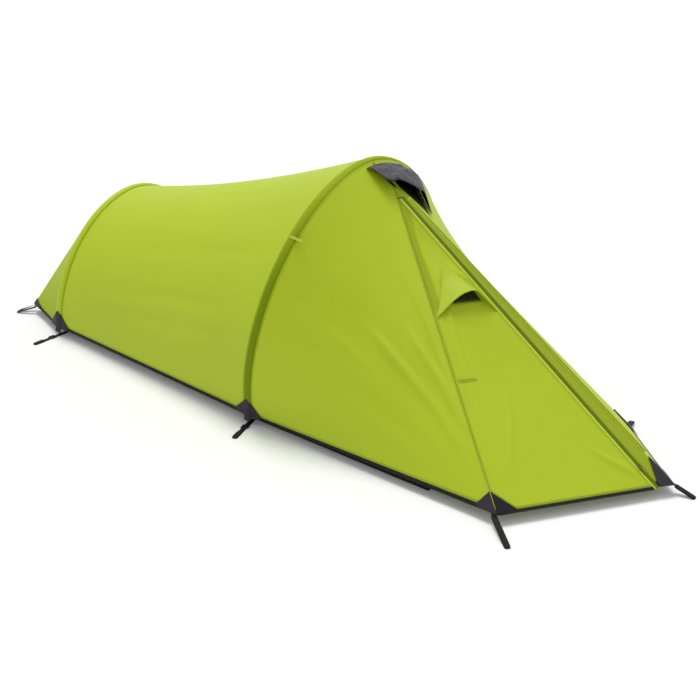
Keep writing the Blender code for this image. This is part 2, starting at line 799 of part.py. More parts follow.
def hem_line(z):
    """The hem at one height, from the near corner of the porch round the back to the zip."""
    rise = (z - hem_height) / (door_top[2] - hem_height)
    near = mix(near_corner, door_top, rise)
    far = mix(far_corner, door_top, rise)
    foot = hem_at(front_hoop, z, panel_edge, -1.0)
    near = mix(foot, near, 1.0 - seam_gap / np.linalg.norm(near - foot))
    tip = mix(tip_corner, door_top, rise)
    zip_side = zip_line(rise) - zip_across * zip_half
    rear = rear_hem(z)
    side_steps = rear_steps * 2 // 7
    line = list(line_points(near, foot, 9))
    line += pole_pass(front_hoop, z, -1.0)[::-1]
    line += list(line_points(hem_at(front_hoop, z, -panel_edge, -1.0),
                             hem_at(rear_hoop, z, panel_edge, -1.0), 9))
    line += pole_pass(rear_hoop, z, -1.0)[::-1]
    line += [rear[k] for k in (0, side_steps // 2, side_steps, rear_steps // 2,
                               rear_steps - side_steps, rear_steps - side_steps // 2, rear_steps)]
    line += pole_pass(rear_hoop, z, 1.0)
    line += list(line_points(hem_at(rear_hoop, z, panel_edge, 1.0),
                             hem_at(front_hoop, z, -panel_edge, 1.0), 9))
    line += pole_pass(front_hoop, z, 1.0)
    line += list(line_points(hem_at(front_hoop, z, panel_edge, 1.0), far, 9))
    line += [mix(far, tip, s) for s in front_hem_stops]
    line += [zip_side]
    return np.array(line)


def hem(finishes):
    grid = strip_between(hem_line(hem_height), hem_line(hem_height + hem_tape_height))
    sheet("hem_tape", grid, tape, finishes["tape"])


# Hood and awning

def roof_point(step, forward, lift):
    """A point above the cloth in front of the hoop, by hoop station."""
    side = -1.0 if step <= front_steps / 2 else 1.0
    edge, seam = side_lines(side)
    k = step if side < 0 else front_steps - step
    low = int(min(k, len(edge) - 2))
    a = mix(edge[low], edge[low + 1], k - low)
    b = mix(seam[low], seam[low + 1], k - low)
    outward = facing(np.cross(b - a, edge[low + 1] - edge[low]), up)
    return mix(a, b, forward / np.linalg.norm(b - a)) + outward * lift


def hood(finishes):
    columns = 13
    steps = np.linspace(hood_near_step, hood_far_step, columns)
    back = np.array([roof_point(s, hood_back, hood_lift) for s in steps])
    last = roof_point(hood_far_step, hood_far_reach, hood_lift)
    rim = spread(np.concatenate([front_top + np.array(hood_rim), [last]]), columns)
    crown = hood_crown * np.sin(math.pi * np.linspace(0.0, 1.0, columns))[:, None]
    rows = []
    for share in np.linspace(0.0, 1.0, 6):
        rows.append(mix(back, rim, share) + up * crown * math.sin(math.pi * share))
    sheet("hood", np.array(rows), cloth, finishes["hood"])


def spread(path, count):
    """The path with its points spaced evenly."""
    path = np.asarray(path, float)
    run = run_of(path)
    wanted = np.linspace(0.0, run[-1], count)
    return np.stack([np.interp(wanted, run, path[:, k]) for k in range(3)], axis=1)


def awning(finishes):
    columns = 13
    grid = []
    for share in np.linspace(0.0, 1.0, 5):
        row = []
        for across in np.linspace(0.0, 1.0, columns):
            lean = across / awning_crest
            if across > awning_crest:
                lean = (1.0 - across) / (1.0 - awning_crest)
            arch = math.sin(math.pi / 2 * lean)
            rise = awning_low + arch * mix(awning_rise, awning_rim_rise, share)
            over = mix(awning_near, awning_far, across)
            lift = awning_seat + awning_stand * arch * math.sin(math.pi / 2 * share)
            row.append(above_door(rise, over, lift))
        grid.append(row)
    sheet("awning", np.array(grid), cloth, finishes["fly"])


# Corner patches

def lifted(grid, distance, hint):
    moved = offset_grid(grid, distance)
    if np.dot((moved - grid).reshape(-1, 3).mean(axis=0), hint) < 0:
        moved = offset_grid(grid, -distance)
    return moved


def corner_patch(name, low, high, hint, finishes, lift=patch_lift):
    grid = np.stack([low, mix(np.asarray(low), np.asarray(high), 0.5), high])
    sheet(name, lifted(grid, lift, np.asarray(hint)), patch_cloth, finishes["patch"])


def wedge(corner, along, slope, rise, count=4, side=patch_side, start=0.0):
    """Hem points beside a corner, and the slanted top edge of its patch above them."""
    stops = np.linspace(start, side, count)
    low = [corner + unit(along) * d for d in stops]
    heights = [mix(rise, patch_end_rise, d / side) for d in stops]
    high = [p + unit(slope) * h for p, h in zip(low, heights)]
    return low, high


def corner_patches(finishes):
    lift = up * patch_foot
    slope = door_top - near_corner
    hoop_foot = hem_at(front_hoop, hem_height, panel_edge, -1.0)
    low, high = wedge(near_corner + lift, hoop_foot - near_corner, slope, patch_rise,
                      start=patch_corner_start)
    corner_patch("near_porch_patch", low, high, (0, -1, 0), finishes)

    ridge = door_top - tip_corner
    edge = zip_foot_offset - zip_half - zip_patch_gap
    low_a, high_a = wedge(tip_corner + lift, near_corner - tip_corner, ridge, tip_patch_rise,
                          3, edge)
    low_b, high_b = wedge(tip_corner + lift, far_corner - tip_corner, ridge, tip_patch_rise,
                          4)
    corner_patch("tip_patch", low_a[::-1] + low_b[1:], high_a[::-1] + high_b[1:], (1, 0, 1),
                 finishes)

    slope = door_top - far_corner
    hoop_foot = hem_at(front_hoop, hem_height, panel_edge, 1.0)
    low_a, high_a = wedge(far_corner + lift, tip_corner - far_corner, slope, patch_rise,
                          3)
    low_b, high_b = wedge(far_corner + lift, hoop_foot - far_corner, slope, patch_rise,
                          3)
    corner_patch("far_porch_patch", low_a[::-1] + low_b[1:], high_a[::-1] + high_b[1:],
                 (0, 1, 0), finishes)

    low_line = rear_hem(hem_height + patch_foot)
    top = rear_stations - rear_axis * panel_edge
    side_steps = rear_steps * 2 // 7
    for side, corner in (("near", side_steps), ("far", rear_steps - side_steps)):
        picked = [corner - 2, corner - 1, corner, corner + 1]
        if side == "far":
            picked = [corner + 2, corner + 1, corner, corner - 1]
        rises = [patch_end_rise, rear_patch_side_rise, rear_patch_rise, patch_end_rise]
        low = [low_line[k] for k in picked]
        high = [p + unit(top[k] - p) * h for k, p, h in zip(picked, low, rises)]
        hint = (-1, -1 if side == "near" else 1, 0)
        corner_patch(f"rear_{side}_patch", low, high, hint, finishes,
                     patch_lift + rear_patch_ease)


def foot_patch(name, hoop, side, rear_target, front_target, finishes):
    """A patch that wraps the foot of a sleeve and the cloth on both sides of it."""
    edge = panel_edge + foot_patch_step
    places = [(-foot_patch_side, patch_lift), (-edge, patch_lift),
              (-foot_patch_shoulder, foot_patch_lift), (0.0, foot_patch_lift),
              (foot_patch_shoulder, foot_patch_lift), (edge, patch_lift),
              (foot_patch_side, patch_lift)]
    rows = []
    for share in np.linspace(0.0, 1.0, 4):
        row = []
        for axial, lift in places:
            top = mix(foot_patch_rise, patch_end_rise, min(1.0, abs(axial) / foot_patch_side))
            z = hem_height + patch_foot + top * share
            target = rear_target if axial < 0 else front_target
            base = hem_at(hoop, z, math.copysign(min(abs(axial), panel_edge), axial), side)
            away = target(z) - base
            over = max(0.0, abs(axial) - panel_edge)
            base = base + unit(away) * over
            base[1] += side * lift
            row.append(base)
        rows.append(row)
    tongue = [p + (up * -foot_tongue_drop + np.array([0.0, side * foot_tongue_out, 0.0]))
              * (1.0 if 2 <= k <= 4 else foot_tongue_side) for k, p in enumerate(rows[0])]
    rows.insert(0, tongue)
    sheet(name, np.array(rows), patch_cloth, finishes["patch"])


def foot_patches(finishes):
    def porch_target(side):
        corner = near_corner if side < 0 else far_corner
        return lambda z: mix(corner, door_top, (z - hem_height) / (door_top[2] - hem_height))

    def hoop_target(hoop, axial, side):
        return lambda z: hem_at(hoop, z, axial, side)

    def rear_target(side):
        index = rear_steps * 2 // 7 if side < 0 else rear_steps - rear_steps * 2 // 7
        return lambda z: rear_hem(z)[index]

    for label, side in (("near", -1.0), ("far", 1.0)):
        foot_patch(f"front_{label}_foot_patch", front_hoop, side,
                   hoop_target(rear_hoop, panel_edge, side), porch_target(side), finishes)
        foot_patch(f"rear_{label}_foot_patch", rear_hoop, side, rear_target(side),
                   hoop_target(front_hoop, -panel_edge, side), finishes)


# Webbing

def strap_grid(points, acrosses, width):
    points = np.asarray(points, float)
    half = np.array([unit(a) for a in acrosses]) * width / 2
    return np.stack([points - half, points + half], axis=1)


def stake_loop(name, corner, along, slope, outward, end, finishes):
    """A folded loop: sewn under the patch, down to the ground and back up over itself."""
    along = unit(along)
    slope = unit(slope)
    outward = facing(np.cross(along, slope), outward)
    under = patch_lift - patch_cloth / 2 - gap - webbing / 2
    start = corner + along * (loop_width / 2 + loop_inset)
    end = np.array([end[0], end[1], 0.0])
    heading = unit((end - start) * np.array([1.0, 1.0, 0.0]))
    square = facing(np.cross(heading, up), along)
    low = webbing / 2
    sewn = start + slope * loop_sewn + outward * under
    hem_edge = start - slope * loop_below_hem + outward * under
    knee = hem_edge + heading * loop_knee[0] - up * loop_knee[1]
    tip = np.array([end[0], end[1], low])
    back = unit(knee - tip)
    over = facing(np.cross(square, back), up)
    turn = tip + heading * loop_fold / 2 + over * loop_fold / 2
    top_tip = tip + over * loop_fold
    top_knee = knee + over * loop_fold
    top_end = top_knee + back * loop_tail
    points = [sewn, hem_edge, knee, tip, turn, top_tip, top_knee, top_end]
    acrosses = [along, along] + [square] * 6
    sheet(name, strap_grid(points, acrosses, loop_width), webbing, finishes["webbing"])


def vee_loop(name, side, end, finishes):
    """Two legs of webbing from both sides of a rear corner, meeting at the stake."""
    hem = rear_hem(hem_height)
    upper = rear_hem(hem_height + vee_sewn)
    top = rear_stations - rear_axis * panel_edge
    index = rear_steps * 2 // 7 if side < 0 else rear_steps - rear_steps * 2 // 7
    inward = 1 if side < 0 else -1
    corner = hem[index]
    end = np.asarray([end[0], end[1], webbing / 2])
    ahead = unit(end - corner)
    under = patch_lift - patch_cloth / 2 - gap - webbing / 2
    legs = []
    for beside in (index - inward, index + inward):
        share = vee_spread / np.linalg.norm(hem[beside] - corner)
        foot = mix(corner, hem[beside], share)
        steep = mix(upper[index], upper[beside], share) - foot
        flat = mix(unit(top[index] - corner), unit(top[beside] - hem[beside]), share)
        slope = unit(mix(unit(steep), flat, vee_ease))
        along = unit(hem[beside] - corner)
        out = facing(np.cross(along, slope), ahead * np.array([1.0, 1.0, 0.0])) * under
        legs.append((along, foot - slope * vee_drop + out, foot + slope * vee_sewn + out))
    (to_foot, foot_low, foot_high), (to_back, back_low, back_high) = legs
    turn = vee_width / 2 + vee_turn
    centre = end - ahead * (turn + vee_width / 2)
    plane = facing(np.cross(foot_low - end, back_low - end), up)
    square = facing(np.cross(plane, ahead), foot_low - back_low)
    points = [foot_high, foot_low]
    acrosses = [to_foot, to_foot]
    for degrees in (0.0, 45.0, 90.0, 135.0, 180.0):
        a = math.radians(degrees)
        ray = square * math.cos(a) + ahead * math.sin(a)
        points.append(centre + ray * turn)
        acrosses.append(ray)
    points += [back_low, back_high]
    acrosses += [to_back, to_back]
    sheet(name, strap_grid(points, acrosses, vee_width), webbing, finishes["webbing"])


def stake_loops(finishes):
    hoop_foot = hem_at(front_hoop, hem_height, panel_edge, -1.0)
    stake_loop("near_porch_loop", near_corner, hoop_foot - near_corner, door_top - near_corner,
               np.array([0.0, -1.0, 0.0]), near_loop_end, finishes)
    side = far_corner - tip_corner
    stake_loop("tip_loop", tip_corner, side, door_top - tip_corner, front_normal, tip_loop_end,
               finishes)
    hoop_foot = hem_at(front_hoop, hem_height, panel_edge, 1.0)
    stake_loop("far_porch_loop", far_corner, hoop_foot - far_corner, door_top - far_corner,
               np.array([0.0, 1.0, 0.0]), far_loop_end, finishes)
    vee_loop("rear_near_loop", -1.0, (rear_loop_end[0], -rear_loop_end[1]), finishes)
    vee_loop("rear_far_loop", 1.0, rear_loop_end, finishes)


def foot_strap(name, hoop, side, lean_x, finishes):
    """Webbing from the floor under the pole tip, through the buckle, folded at the stake."""
    foot = raw_hoop(hoop, np.array([angle_at(hoop, webbing)]))[0]
    origin = np.array([foot[0], foot[1] * -side, 0.0])
    heading = unit((lean_x, side, 0.0))
    start = floor_reach(origin, heading, side)
    across = np.cross(heading, up)
    bars = bar_places()
    low = webbing / 2
    high = webbing + gap + buckle_thickness + gap + webbing / 2
    bend = buckle_bar + strap_bend
    tight = buckle_bar + strap_bend_tight
    stops = [(-start, low), (bars[0] + bend, low), (bars[1] - bend, high),
             (bars[1] + tight, high), (bars[2] - tight, low), (strap_length, low),
             (strap_length + loop_fold / 2, low + loop_fold / 2),
             (strap_length, low + loop_fold), (strap_length - tail_length, low + loop_fold)]
    points = [origin + heading * s + up * z for s, z in stops]
    sheet(f"{name}_foot_strap", strap_grid(points, [across] * len(points), strap_width),
          webbing, finishes["webbing"])
    ladder_buckle(f"{name}_foot_buckle", origin, heading, across, bars, finishes)


def floor_reach(origin, heading, side):
    """How far inwards a foot strap runs to end beside the edge of the floor."""
    edge = floor_chains()[0 if side < 0 else 1][1:3]
    along = unit(edge[1] - edge[0])
    square = facing(np.cross(along, up), (0.0, side, 0.0))
    facing_share = float(np.dot(square, heading))
    away = float(np.dot(origin - edge[0], square))
    skew = strap_width / 2 * math.sqrt(1.0 - facing_share ** 2)
    return (away - skew - gap - cloth) / facing_share


def bar_places():
    """Middles of the three bars of a ladder buckle, from the pole outwards."""
    first = buckle_reach
    second = first + 2 * buckle_bar + buckle_slot
    return first, second, second + 2 * buckle_bar + buckle_slot_outer


def ladder_buckle(name, origin, heading, across, bars, finishes):
    """A flat frame with two slots and three bars, with cut outer corners."""
    half = strap_width / 2 + gap * 2
    outer = half + buckle_rail
    start, end = bars[0] - buckle_bar, bars[2] + buckle_bar
    cut = buckle_corner
    outlines = [[(start, -outer + cut), (start + cut, -outer), (end - cut, -outer),
                 (end, -outer + cut), (end, outer - cut), (end - cut, outer),
                 (start + cut, outer), (start, outer - cut)]]
    for a, b in ((bars[0], bars[1]), (bars[1], bars[2])):
        outlines.append([(a + buckle_bar, -half), (a + buckle_bar, half),
                         (b - buckle_bar, half), (b - buckle_bar, -half)])
    middle = origin + up * (webbing + gap + buckle_thickness / 2)
    bar_of(name, outlines, buckle_thickness, middle,
           (heading, across, np.cross(heading, across)), finishes["acetal"])


def small_loops(finishes):
    """The guy loop on the near side of the front sleeve, and the door's tie loop."""
    k = sleeve_loop_step
    along = unit(front_line[k + 1] - front_line[k - 1])
    seat = sleeve_half_depth + gap + webbing / 2
    dip = seat - sleeve_loop_dip
    start, bend = sleeve_loop_sewn
    reach = sleeve_loop_reach
    stops = [(start, seat), (bend, seat), (reach, dip), (reach + loop_fold / 2, dip + loop_fold / 2),
             (reach, dip + loop_fold), (bend, seat + loop_fold)]
    points = [front_line[k] + front_axis * a + front_out[k] * lift for a, lift in stops]
    sheet("sleeve_guy_loop", strap_grid(points, [along] * len(points), loop_width / 2),
          webbing, finishes["green_cord"])

    half = tie_loop_half_width / float(np.linalg.norm(door_top - near_corner))
    width = float(np.linalg.norm(door_point(tie_loop_rise, 1.0) - door_point(tie_loop_rise, 0.0)))
    legs = tie_loop_legs + [(reach, -share) for reach, share in tie_loop_legs[-2::-1]]
    lift = cloth / 2 + 2 * gap + tie_loop_radius
    path = [above_door(tie_loop_rise + half * offset, reach / width, lift)
            for reach, offset in legs]
    tube("door_tie_loop", path, tie_loop_radius, finishes["green_cord"], 1)


# Zip slider

def slider(finishes):
    """The slider sits on the chain; the barrel of its puller lies between two ears."""
    base = tape / 2 + gap
    across = chain_half_width - slider_width / 2
    half = slider_width / 2
    inside = puller_width / 2 + gap
    outside = inside + ear_thickness
    top = slider_height + ear_height
    outline = [(-half, 0.0), (half, 0.0), (half, slider_height), (outside, slider_height),
               (outside, top), (inside, top), (inside, slider_height),
               (-inside, slider_height), (-inside, top), (-outside, top),
               (-outside, slider_height), (-half, slider_height)]
    bar_of("zip_slider", [outline], slider_length, on_zip(slider_start, across, base),
           (zip_across, door_normal, np.cross(zip_across, door_normal)), finishes["acetal"])

    barrel = puller_thickness * 0.9
    half = puller_thickness / 2
    outline = [(barrel * math.cos(a), barrel * math.sin(a))
               for a in np.linspace(-math.pi * 0.75, math.pi * 0.75, 9)]
    outline += [(-puller_length, half), (-puller_length, -half)]
    pivot = on_zip(slider_start, across, base + slider_height + gap + barrel)
    bar_of("zip_puller", [outline], puller_width, pivot,
           (zip_along, door_normal, np.cross(zip_along, door_normal)), finishes["acetal"])


# Inner tent

def floor_chains():
    """Near and far edges of the floor, rear to front, at the ground and at the rim."""
    rear_x = rear_hoop["foot_x"] - floor_rear_reach
    rear_foot = raw_hoop(rear_hoop, np.array([angle_at(rear_hoop, cloth_low_z)]))[0]
    front_foot = raw_hoop(front_hoop, np.array([angle_at(front_hoop, cloth_low_z)]))[0]
    near = np.array([[rear_x, -floor_rear_half_width, 0.0],
                     [rear_foot[0], rear_foot[1] + floor_hoop_inset, 0.0],
                     [front_foot[0], front_foot[1] + floor_hoop_inset, 0.0],
                     [floor_front_x, floor_front_near_y, 0.0]])
    far = near * np.array([1.0, -1.0, 1.0])
    far[3] = (floor_front_x - floor_far_setback, floor_front_far_y, 0.0)
    ends = np.array([rim_front_inset, 0.0, 0.0, -rim_front_inset])
    rim_near = near.copy()
    rim_near[:, 0] += ends
    rim_near[:, 1] += rim_side_inset
    rim_far = far.copy()
    rim_far[:, 0] += ends
    rim_far[:, 1] -= rim_side_inset
    return near, far, rim_near, rim_far


def inner_floor(finishes):
    near, far, rim_near, rim_far = floor_chains()
    lift = up * cloth / 2
    rise = up * (floor_wall - cloth / 2)
    rows = [[rim_near[0] + rise, rim_near[0] + rise, rim_far[0] + rise, rim_far[0] + rise]]
    for k in range(4):
        rows.append([rim_near[k] + rise, near[k] + lift, far[k] + lift, rim_far[k] + rise])
    rows.append([rim_near[3] + rise, rim_near[3] + rise, rim_far[3] + rise, rim_far[3] + rise])
    sheet("inner_floor", np.array(rows), cloth, finishes["floor"])


def inner_arch(hoop, axial, count):
    """An arch inside a hoop, from rim to rim."""
    shape = dict(hoop)
    shape["half_width"] = hoop["half_width"] - inner_clearance
    shape["height"] = hoop["height"] - inner_clearance
    low = angle_at(shape, canopy_low_z)
    fine = raw_hoop(shape, np.linspace(low, math.pi - low, 721))
    return spread(fine, count) + hoop_normal(hoop) * axial


canopy_low_z = floor_wall + gap * 3


def inner_rows():
    """Rings of the inner tent, rear rim to front rim, each from near to far."""
    count = inner_columns
    rim_near, rim_far = floor_chains()[2:]
    rise = up * canopy_low_z
    rear_arch = inner_arch(rear_hoop, 0.0, count)
    front_arch = inner_arch(front_hoop, 0.0, count)
    rear_arch[0], rear_arch[-1] = rim_near[1] + rise, rim_far[1] + rise
    front_arch[0], front_arch[-1] = rim_near[2] + rise, rim_far[2] + rise
    side = inner_side_columns
    back = np.concatenate([line_points(rear_arch[0], rim_near[0] + rise, side)[:-1],
                           line_points(rim_near[0] + rise, rim_far[0] + rise, count - 2 * side + 2),
                           line_points(rim_far[0] + rise, rear_arch[-1], side)[1:]])
    front = np.concatenate([line_points(front_arch[0], rim_near[3] + rise, side)[:-1],
                            line_points(rim_near[3] + rise, rim_far[3] + rise, count - 2 * side + 2),
                            line_points(rim_far[3] + rise, front_arch[-1], side)[1:]])
    return back, rear_arch, front_arch, front


def inner_canopy(finishes):
    back, rear_arch, front_arch, front = inner_rows()
    rows = [mix(back, rear_arch, s) for s in inner_end_rows]
    depth = inner_sag * np.sin(math.pi * np.linspace(0.0, 1.0, len(rear_arch)))[:, None]
    for s in np.linspace(0.0, 1.0, 6):
        rows.append(mix(rear_arch, front_arch, s) - up * depth * 4.0 * s * (1.0 - s))
    shares = (inner_door_low, *inner_door_bars, inner_door_high, 1.0)
    first = len(rows)
    door_rows = [mix(front, front_arch, s) for s in shares[::-1][1:]]
    rows += door_rows + [front]
    hole = (first, first + len(inner_door_bars) + 1, *inner_door_columns)
    grid = np.array(rows)
    sheet("inner_canopy", grid, cloth, finishes["inner"], skip=hole)
    panel = grid[hole[0]:hole[1] + 1, hole[2]:hole[3] + 1]
    sheet("inner_door", shrunk(panel, inner_door_gap), cloth, finishes["mesh"])


def hang_from(name, pivot):
    """Moves the origin of a piece to a point of its hinge line; the piece stays in place."""
    piece = bpy.data.objects[name]
    place = Vector(tuple(map(float, pivot)))
    piece.data.transform(Matrix.Translation(-place))
    piece.matrix_world = Matrix.Translation(place)


def build():
    clear_scene()
    new_collection(part_name)
    finishes = make_finishes()
    sleeve("front_pole_sleeve", front_hoop, front_line, front_out, finishes["fly"])
    sleeve("rear_pole_sleeve", rear_hoop, rear_stations, rear_outward, finishes["fly"])
    pole("front", front_hoop, front_line, front_out, front_sections, finishes)
    pole("rear", rear_hoop, rear_stations, rear_outward, rear_sections, finishes)
    tunnel_fly(finishes)
    rear_fly(finishes)
    porch_sides(finishes)
    door(finishes)
    zip_parts(finishes)
    front_panel(finishes)
    storm_flap(finishes)
    hem(finishes)
    hood(finishes)
    awning(finishes)
    corner_patches(finishes)
    foot_patches(finishes)
    stake_loops(finishes)
    for label, side in (("near", -1.0), ("far", 1.0)):
        foot_strap(f"front_{label}", front_hoop, side, front_strap_lean, finishes)
        foot_strap(f"rear_{label}", rear_hoop, side, rear_strap_lean, finishes)
    small_loops(finishes)
    slider(finishes)
    inner_floor(finishes)
    inner_canopy(finishes)
    for name in door_pieces:
        hang_from(name, near_corner)
    front_arch, front = inner_rows()[2:]
    hang_from("inner_door", mix(front, front_arch, inner_door_low)[inner_door_columns[0]])


build()
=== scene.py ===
import math

import bpy
import numpy as np
from mathutils import Matrix, Vector


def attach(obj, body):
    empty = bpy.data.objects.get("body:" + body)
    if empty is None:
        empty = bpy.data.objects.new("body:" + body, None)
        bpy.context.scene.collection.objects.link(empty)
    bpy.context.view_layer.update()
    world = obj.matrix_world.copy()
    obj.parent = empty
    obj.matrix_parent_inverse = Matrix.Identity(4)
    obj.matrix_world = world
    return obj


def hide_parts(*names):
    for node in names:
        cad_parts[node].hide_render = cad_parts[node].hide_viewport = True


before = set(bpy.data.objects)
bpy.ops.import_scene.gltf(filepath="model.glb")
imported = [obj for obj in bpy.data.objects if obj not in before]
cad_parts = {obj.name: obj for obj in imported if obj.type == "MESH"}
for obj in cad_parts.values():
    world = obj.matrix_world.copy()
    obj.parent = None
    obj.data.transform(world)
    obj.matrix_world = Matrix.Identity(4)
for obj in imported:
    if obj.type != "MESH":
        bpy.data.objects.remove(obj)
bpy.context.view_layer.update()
print("frame loaded")

up = np.array([0.0, 0.0, 1.0])


# Arrays of points

def unit(vectors):
    vectors = np.asarray(vectors, float)
    return vectors / np.linalg.norm(vectors, axis=-1, keepdims=True)


def mix(start, end, share):
    return np.asarray(start) * (1.0 - share) + np.asarray(end) * share


def facing(vector, hint):
    vector = unit(vector)
    return vector if np.dot(vector, hint) > 0 else -vector


def shares(count):
    # from nil to one in even steps
    return np.linspace(0.0, 1.0, count)


def lineOf(start, end, count):
    # straight line: start plus a growing share of the way to the end
    return mix(start, end, shares(count)[:, None])


def runOf(path):
    # length from the first point to each point of a path
    steps = np.linalg.norm(np.diff(path, axis=0), axis=-1)
    return np.concatenate([[0.0], np.cumsum(steps)])


def atRuns(wanted, run, values):
    # values of a path at the wanted lengths, on straight lines between its points
    return np.stack([np.interp(wanted, run, values[:, k]) for k in range(3)], axis=1)


def evenly(path, count):
    # the path with count points at equal lengths
    run = runOf(path)
    return atRuns(np.linspace(0.0, run[-1], count), run, path)


def smoothPath(points, factor):
    # Catmull-Rom: each point stays, and a cubic through the two points on each side
    # fills in between
    first = 2 * points[:1] - points[1:2]
    last = 2 * points[-1:] - points[-2:-1]
    padded = np.concatenate([first, points, last])
    count = len(points) - 1
    a, b, c, d = (padded[k:k + count, None] for k in range(4))
    t = (np.arange(factor) / factor)[None, :, None]
    curve = b + 0.5 * t * (c - a + t * (2 * a - 5 * b + 4 * c - d + t * (3 * b - a - 3 * c + d)))
    return np.concatenate([curve.reshape(-1, 3), points[-1:]])


def moreRows(grid, factor):
    # straight lines between the rows
    t = (np.arange(factor) / factor)[None, :, None, None]
    rows = grid[:-1, None] * (1 - t) + grid[1:, None] * t
    return np.concatenate([rows.reshape((-1,) + grid.shape[1:]), grid[-1:]])


def finer(grid, rows, columns):
    # more rows and columns in a grid
    return moreRows(moreRows(grid, rows).swapaxes(0, 1), columns).swapaxes(0, 1)


def blunt(points):
    # in place, each point but the first and last: half itself, a quarter each neighbour
    points[1:-1] = (points[:-2] + 2 * points[1:-1] + points[2:]) / 4


def normalsOf(grid):
    # cross product of the steps along a row and along a column; an edge that runs to a
    # point takes the normals beside it
    normals = np.cross(np.gradient(grid, axis=1), np.gradient(grid, axis=0))
    length = np.linalg.norm(normals, axis=-1, keepdims=True)
    normals = normals / np.maximum(length, 1e-15)
    for edge, inside in ((0, 1), (-1, -2)):
        if length[:, edge].min() < 1e-12:
            normals[:, edge] = normals[:, inside]
        if length[edge].min() < 1e-12:
            normals[edge] = normals[inside]
    return normals


def raised(grid, height):
    return grid + normalsOf(grid) * height[..., None]


# Folds and creases, all as heights to add along the normals

def creases(grid, lines, width, height):
    # Every line is a pulled fold: the height falls off with the distance to it as a bell
    # with a shallow trough on each side, and fades in and out along its length
    points = grid.reshape(-1, 1, 3)
    pick = np.arange(len(points))
    total = np.zeros(len(points))
    for line in lines:
        line = np.asarray(line, float)
        step = np.diff(line, axis=0)
        share = ((points - line[:-1]) * step).sum(-1) / (step ** 2).sum(-1)
        share = np.clip(share, 0.0, 1.0)
        away = np.linalg.norm(points - line[:-1] - step * share[..., None], axis=-1)
        nearest = away.argmin(axis=1)
        run = runOf(line)
        along = run[nearest] + share[pick, nearest] * (run[nearest + 1] - run[nearest])
        fade = np.sin(math.pi * np.clip(along / run[-1], 0.0, 1.0)) ** 0.6
        x = (away[pick, nearest] / width) ** 2
        total += (1.0 - 0.7 * x) * np.exp(-x) * fade
    return total.reshape(grid.shape[:2]) * height


def streaks(place, seed, lowest, highest, height, count=9):
    # sum of sines of one coordinate, with seeded pitches, phases and weights
    rng = np.random.default_rng(seed)
    pitch = rng.uniform(lowest, highest, count)
    phase = rng.uniform(0.0, 2 * math.pi, count)
    weight = rng.uniform(0.3, 1.0, count) / np.sqrt(pitch / lowest)
    waves = np.sin(2 * math.pi * place[..., None] * pitch + phase) * weight
    return waves.sum(axis=-1) * height / math.sqrt(count)


def pucker(grid, edge, pitch, depth, reach, seed):
    # Stitching gathers the cloth: a ripple along one edge that dies away from it
    turned = edge in ("left", "right")
    step = -1 if edge in ("last", "right") else 1
    rows = (grid.swapaxes(0, 1) if turned else grid)[::step]
    lengths = np.linalg.norm(np.diff(rows, axis=0), axis=-1)
    away = np.concatenate([np.zeros((1, rows.shape[1])), np.cumsum(lengths, axis=0)])
    ripple = streaks(runOf(rows[0])[None, :], seed, 0.6 / pitch, 1.4 / pitch, depth, 5)
    height = ripple * np.exp(-(away / reach) ** 2) * np.minimum(1.0, away / (reach * 0.25))
    return height[::step].T if turned else height[::step]


def puckers(grid, seams):
    return sum(pucker(grid, **seam) for seam in seams)


def window(grid, power=0.6):
    # nil at all four edges of a grid and one in its middle
    rows, columns = (np.sin(math.pi * shares(count)) ** power
                     for count in grid.shape[:2])
    return rows[:, None] * columns[None, :]


# Meshes

def meshFrom(name, points, quads, uv, edge):
    mesh = bpy.data.meshes.new(name)
    mesh.vertices.add(len(points))
    mesh.vertices.foreach_set("co", points.astype(np.float32).ravel())
    mesh.loops.add(quads.size)
    mesh.loops.foreach_set("vertex_index", quads.astype(np.int32).ravel())
    mesh.polygons.add(len(quads))
    mesh.polygons.foreach_set("loop_start", np.arange(0, quads.size, 4, dtype=np.int32))
    mesh.update(calc_edges=True)
    layer = mesh.uv_layers.new(name="UVMap")
    layer.data.foreach_set("uv", uv.astype(np.float32).ravel())
    hemDistance = mesh.attributes.new("hemDistance", "FLOAT", "POINT")
    hemDistance.data.foreach_set("value", edge.astype(np.float32).ravel())
    mesh.polygons.foreach_set("use_smooth", np.ones(len(quads), bool))
    mesh.validate()
    return placed(name, mesh)


def placed(name, data):
    piece = bpy.data.objects.new(name, data)
    bpy.context.scene.collection.objects.link(piece)
    return piece


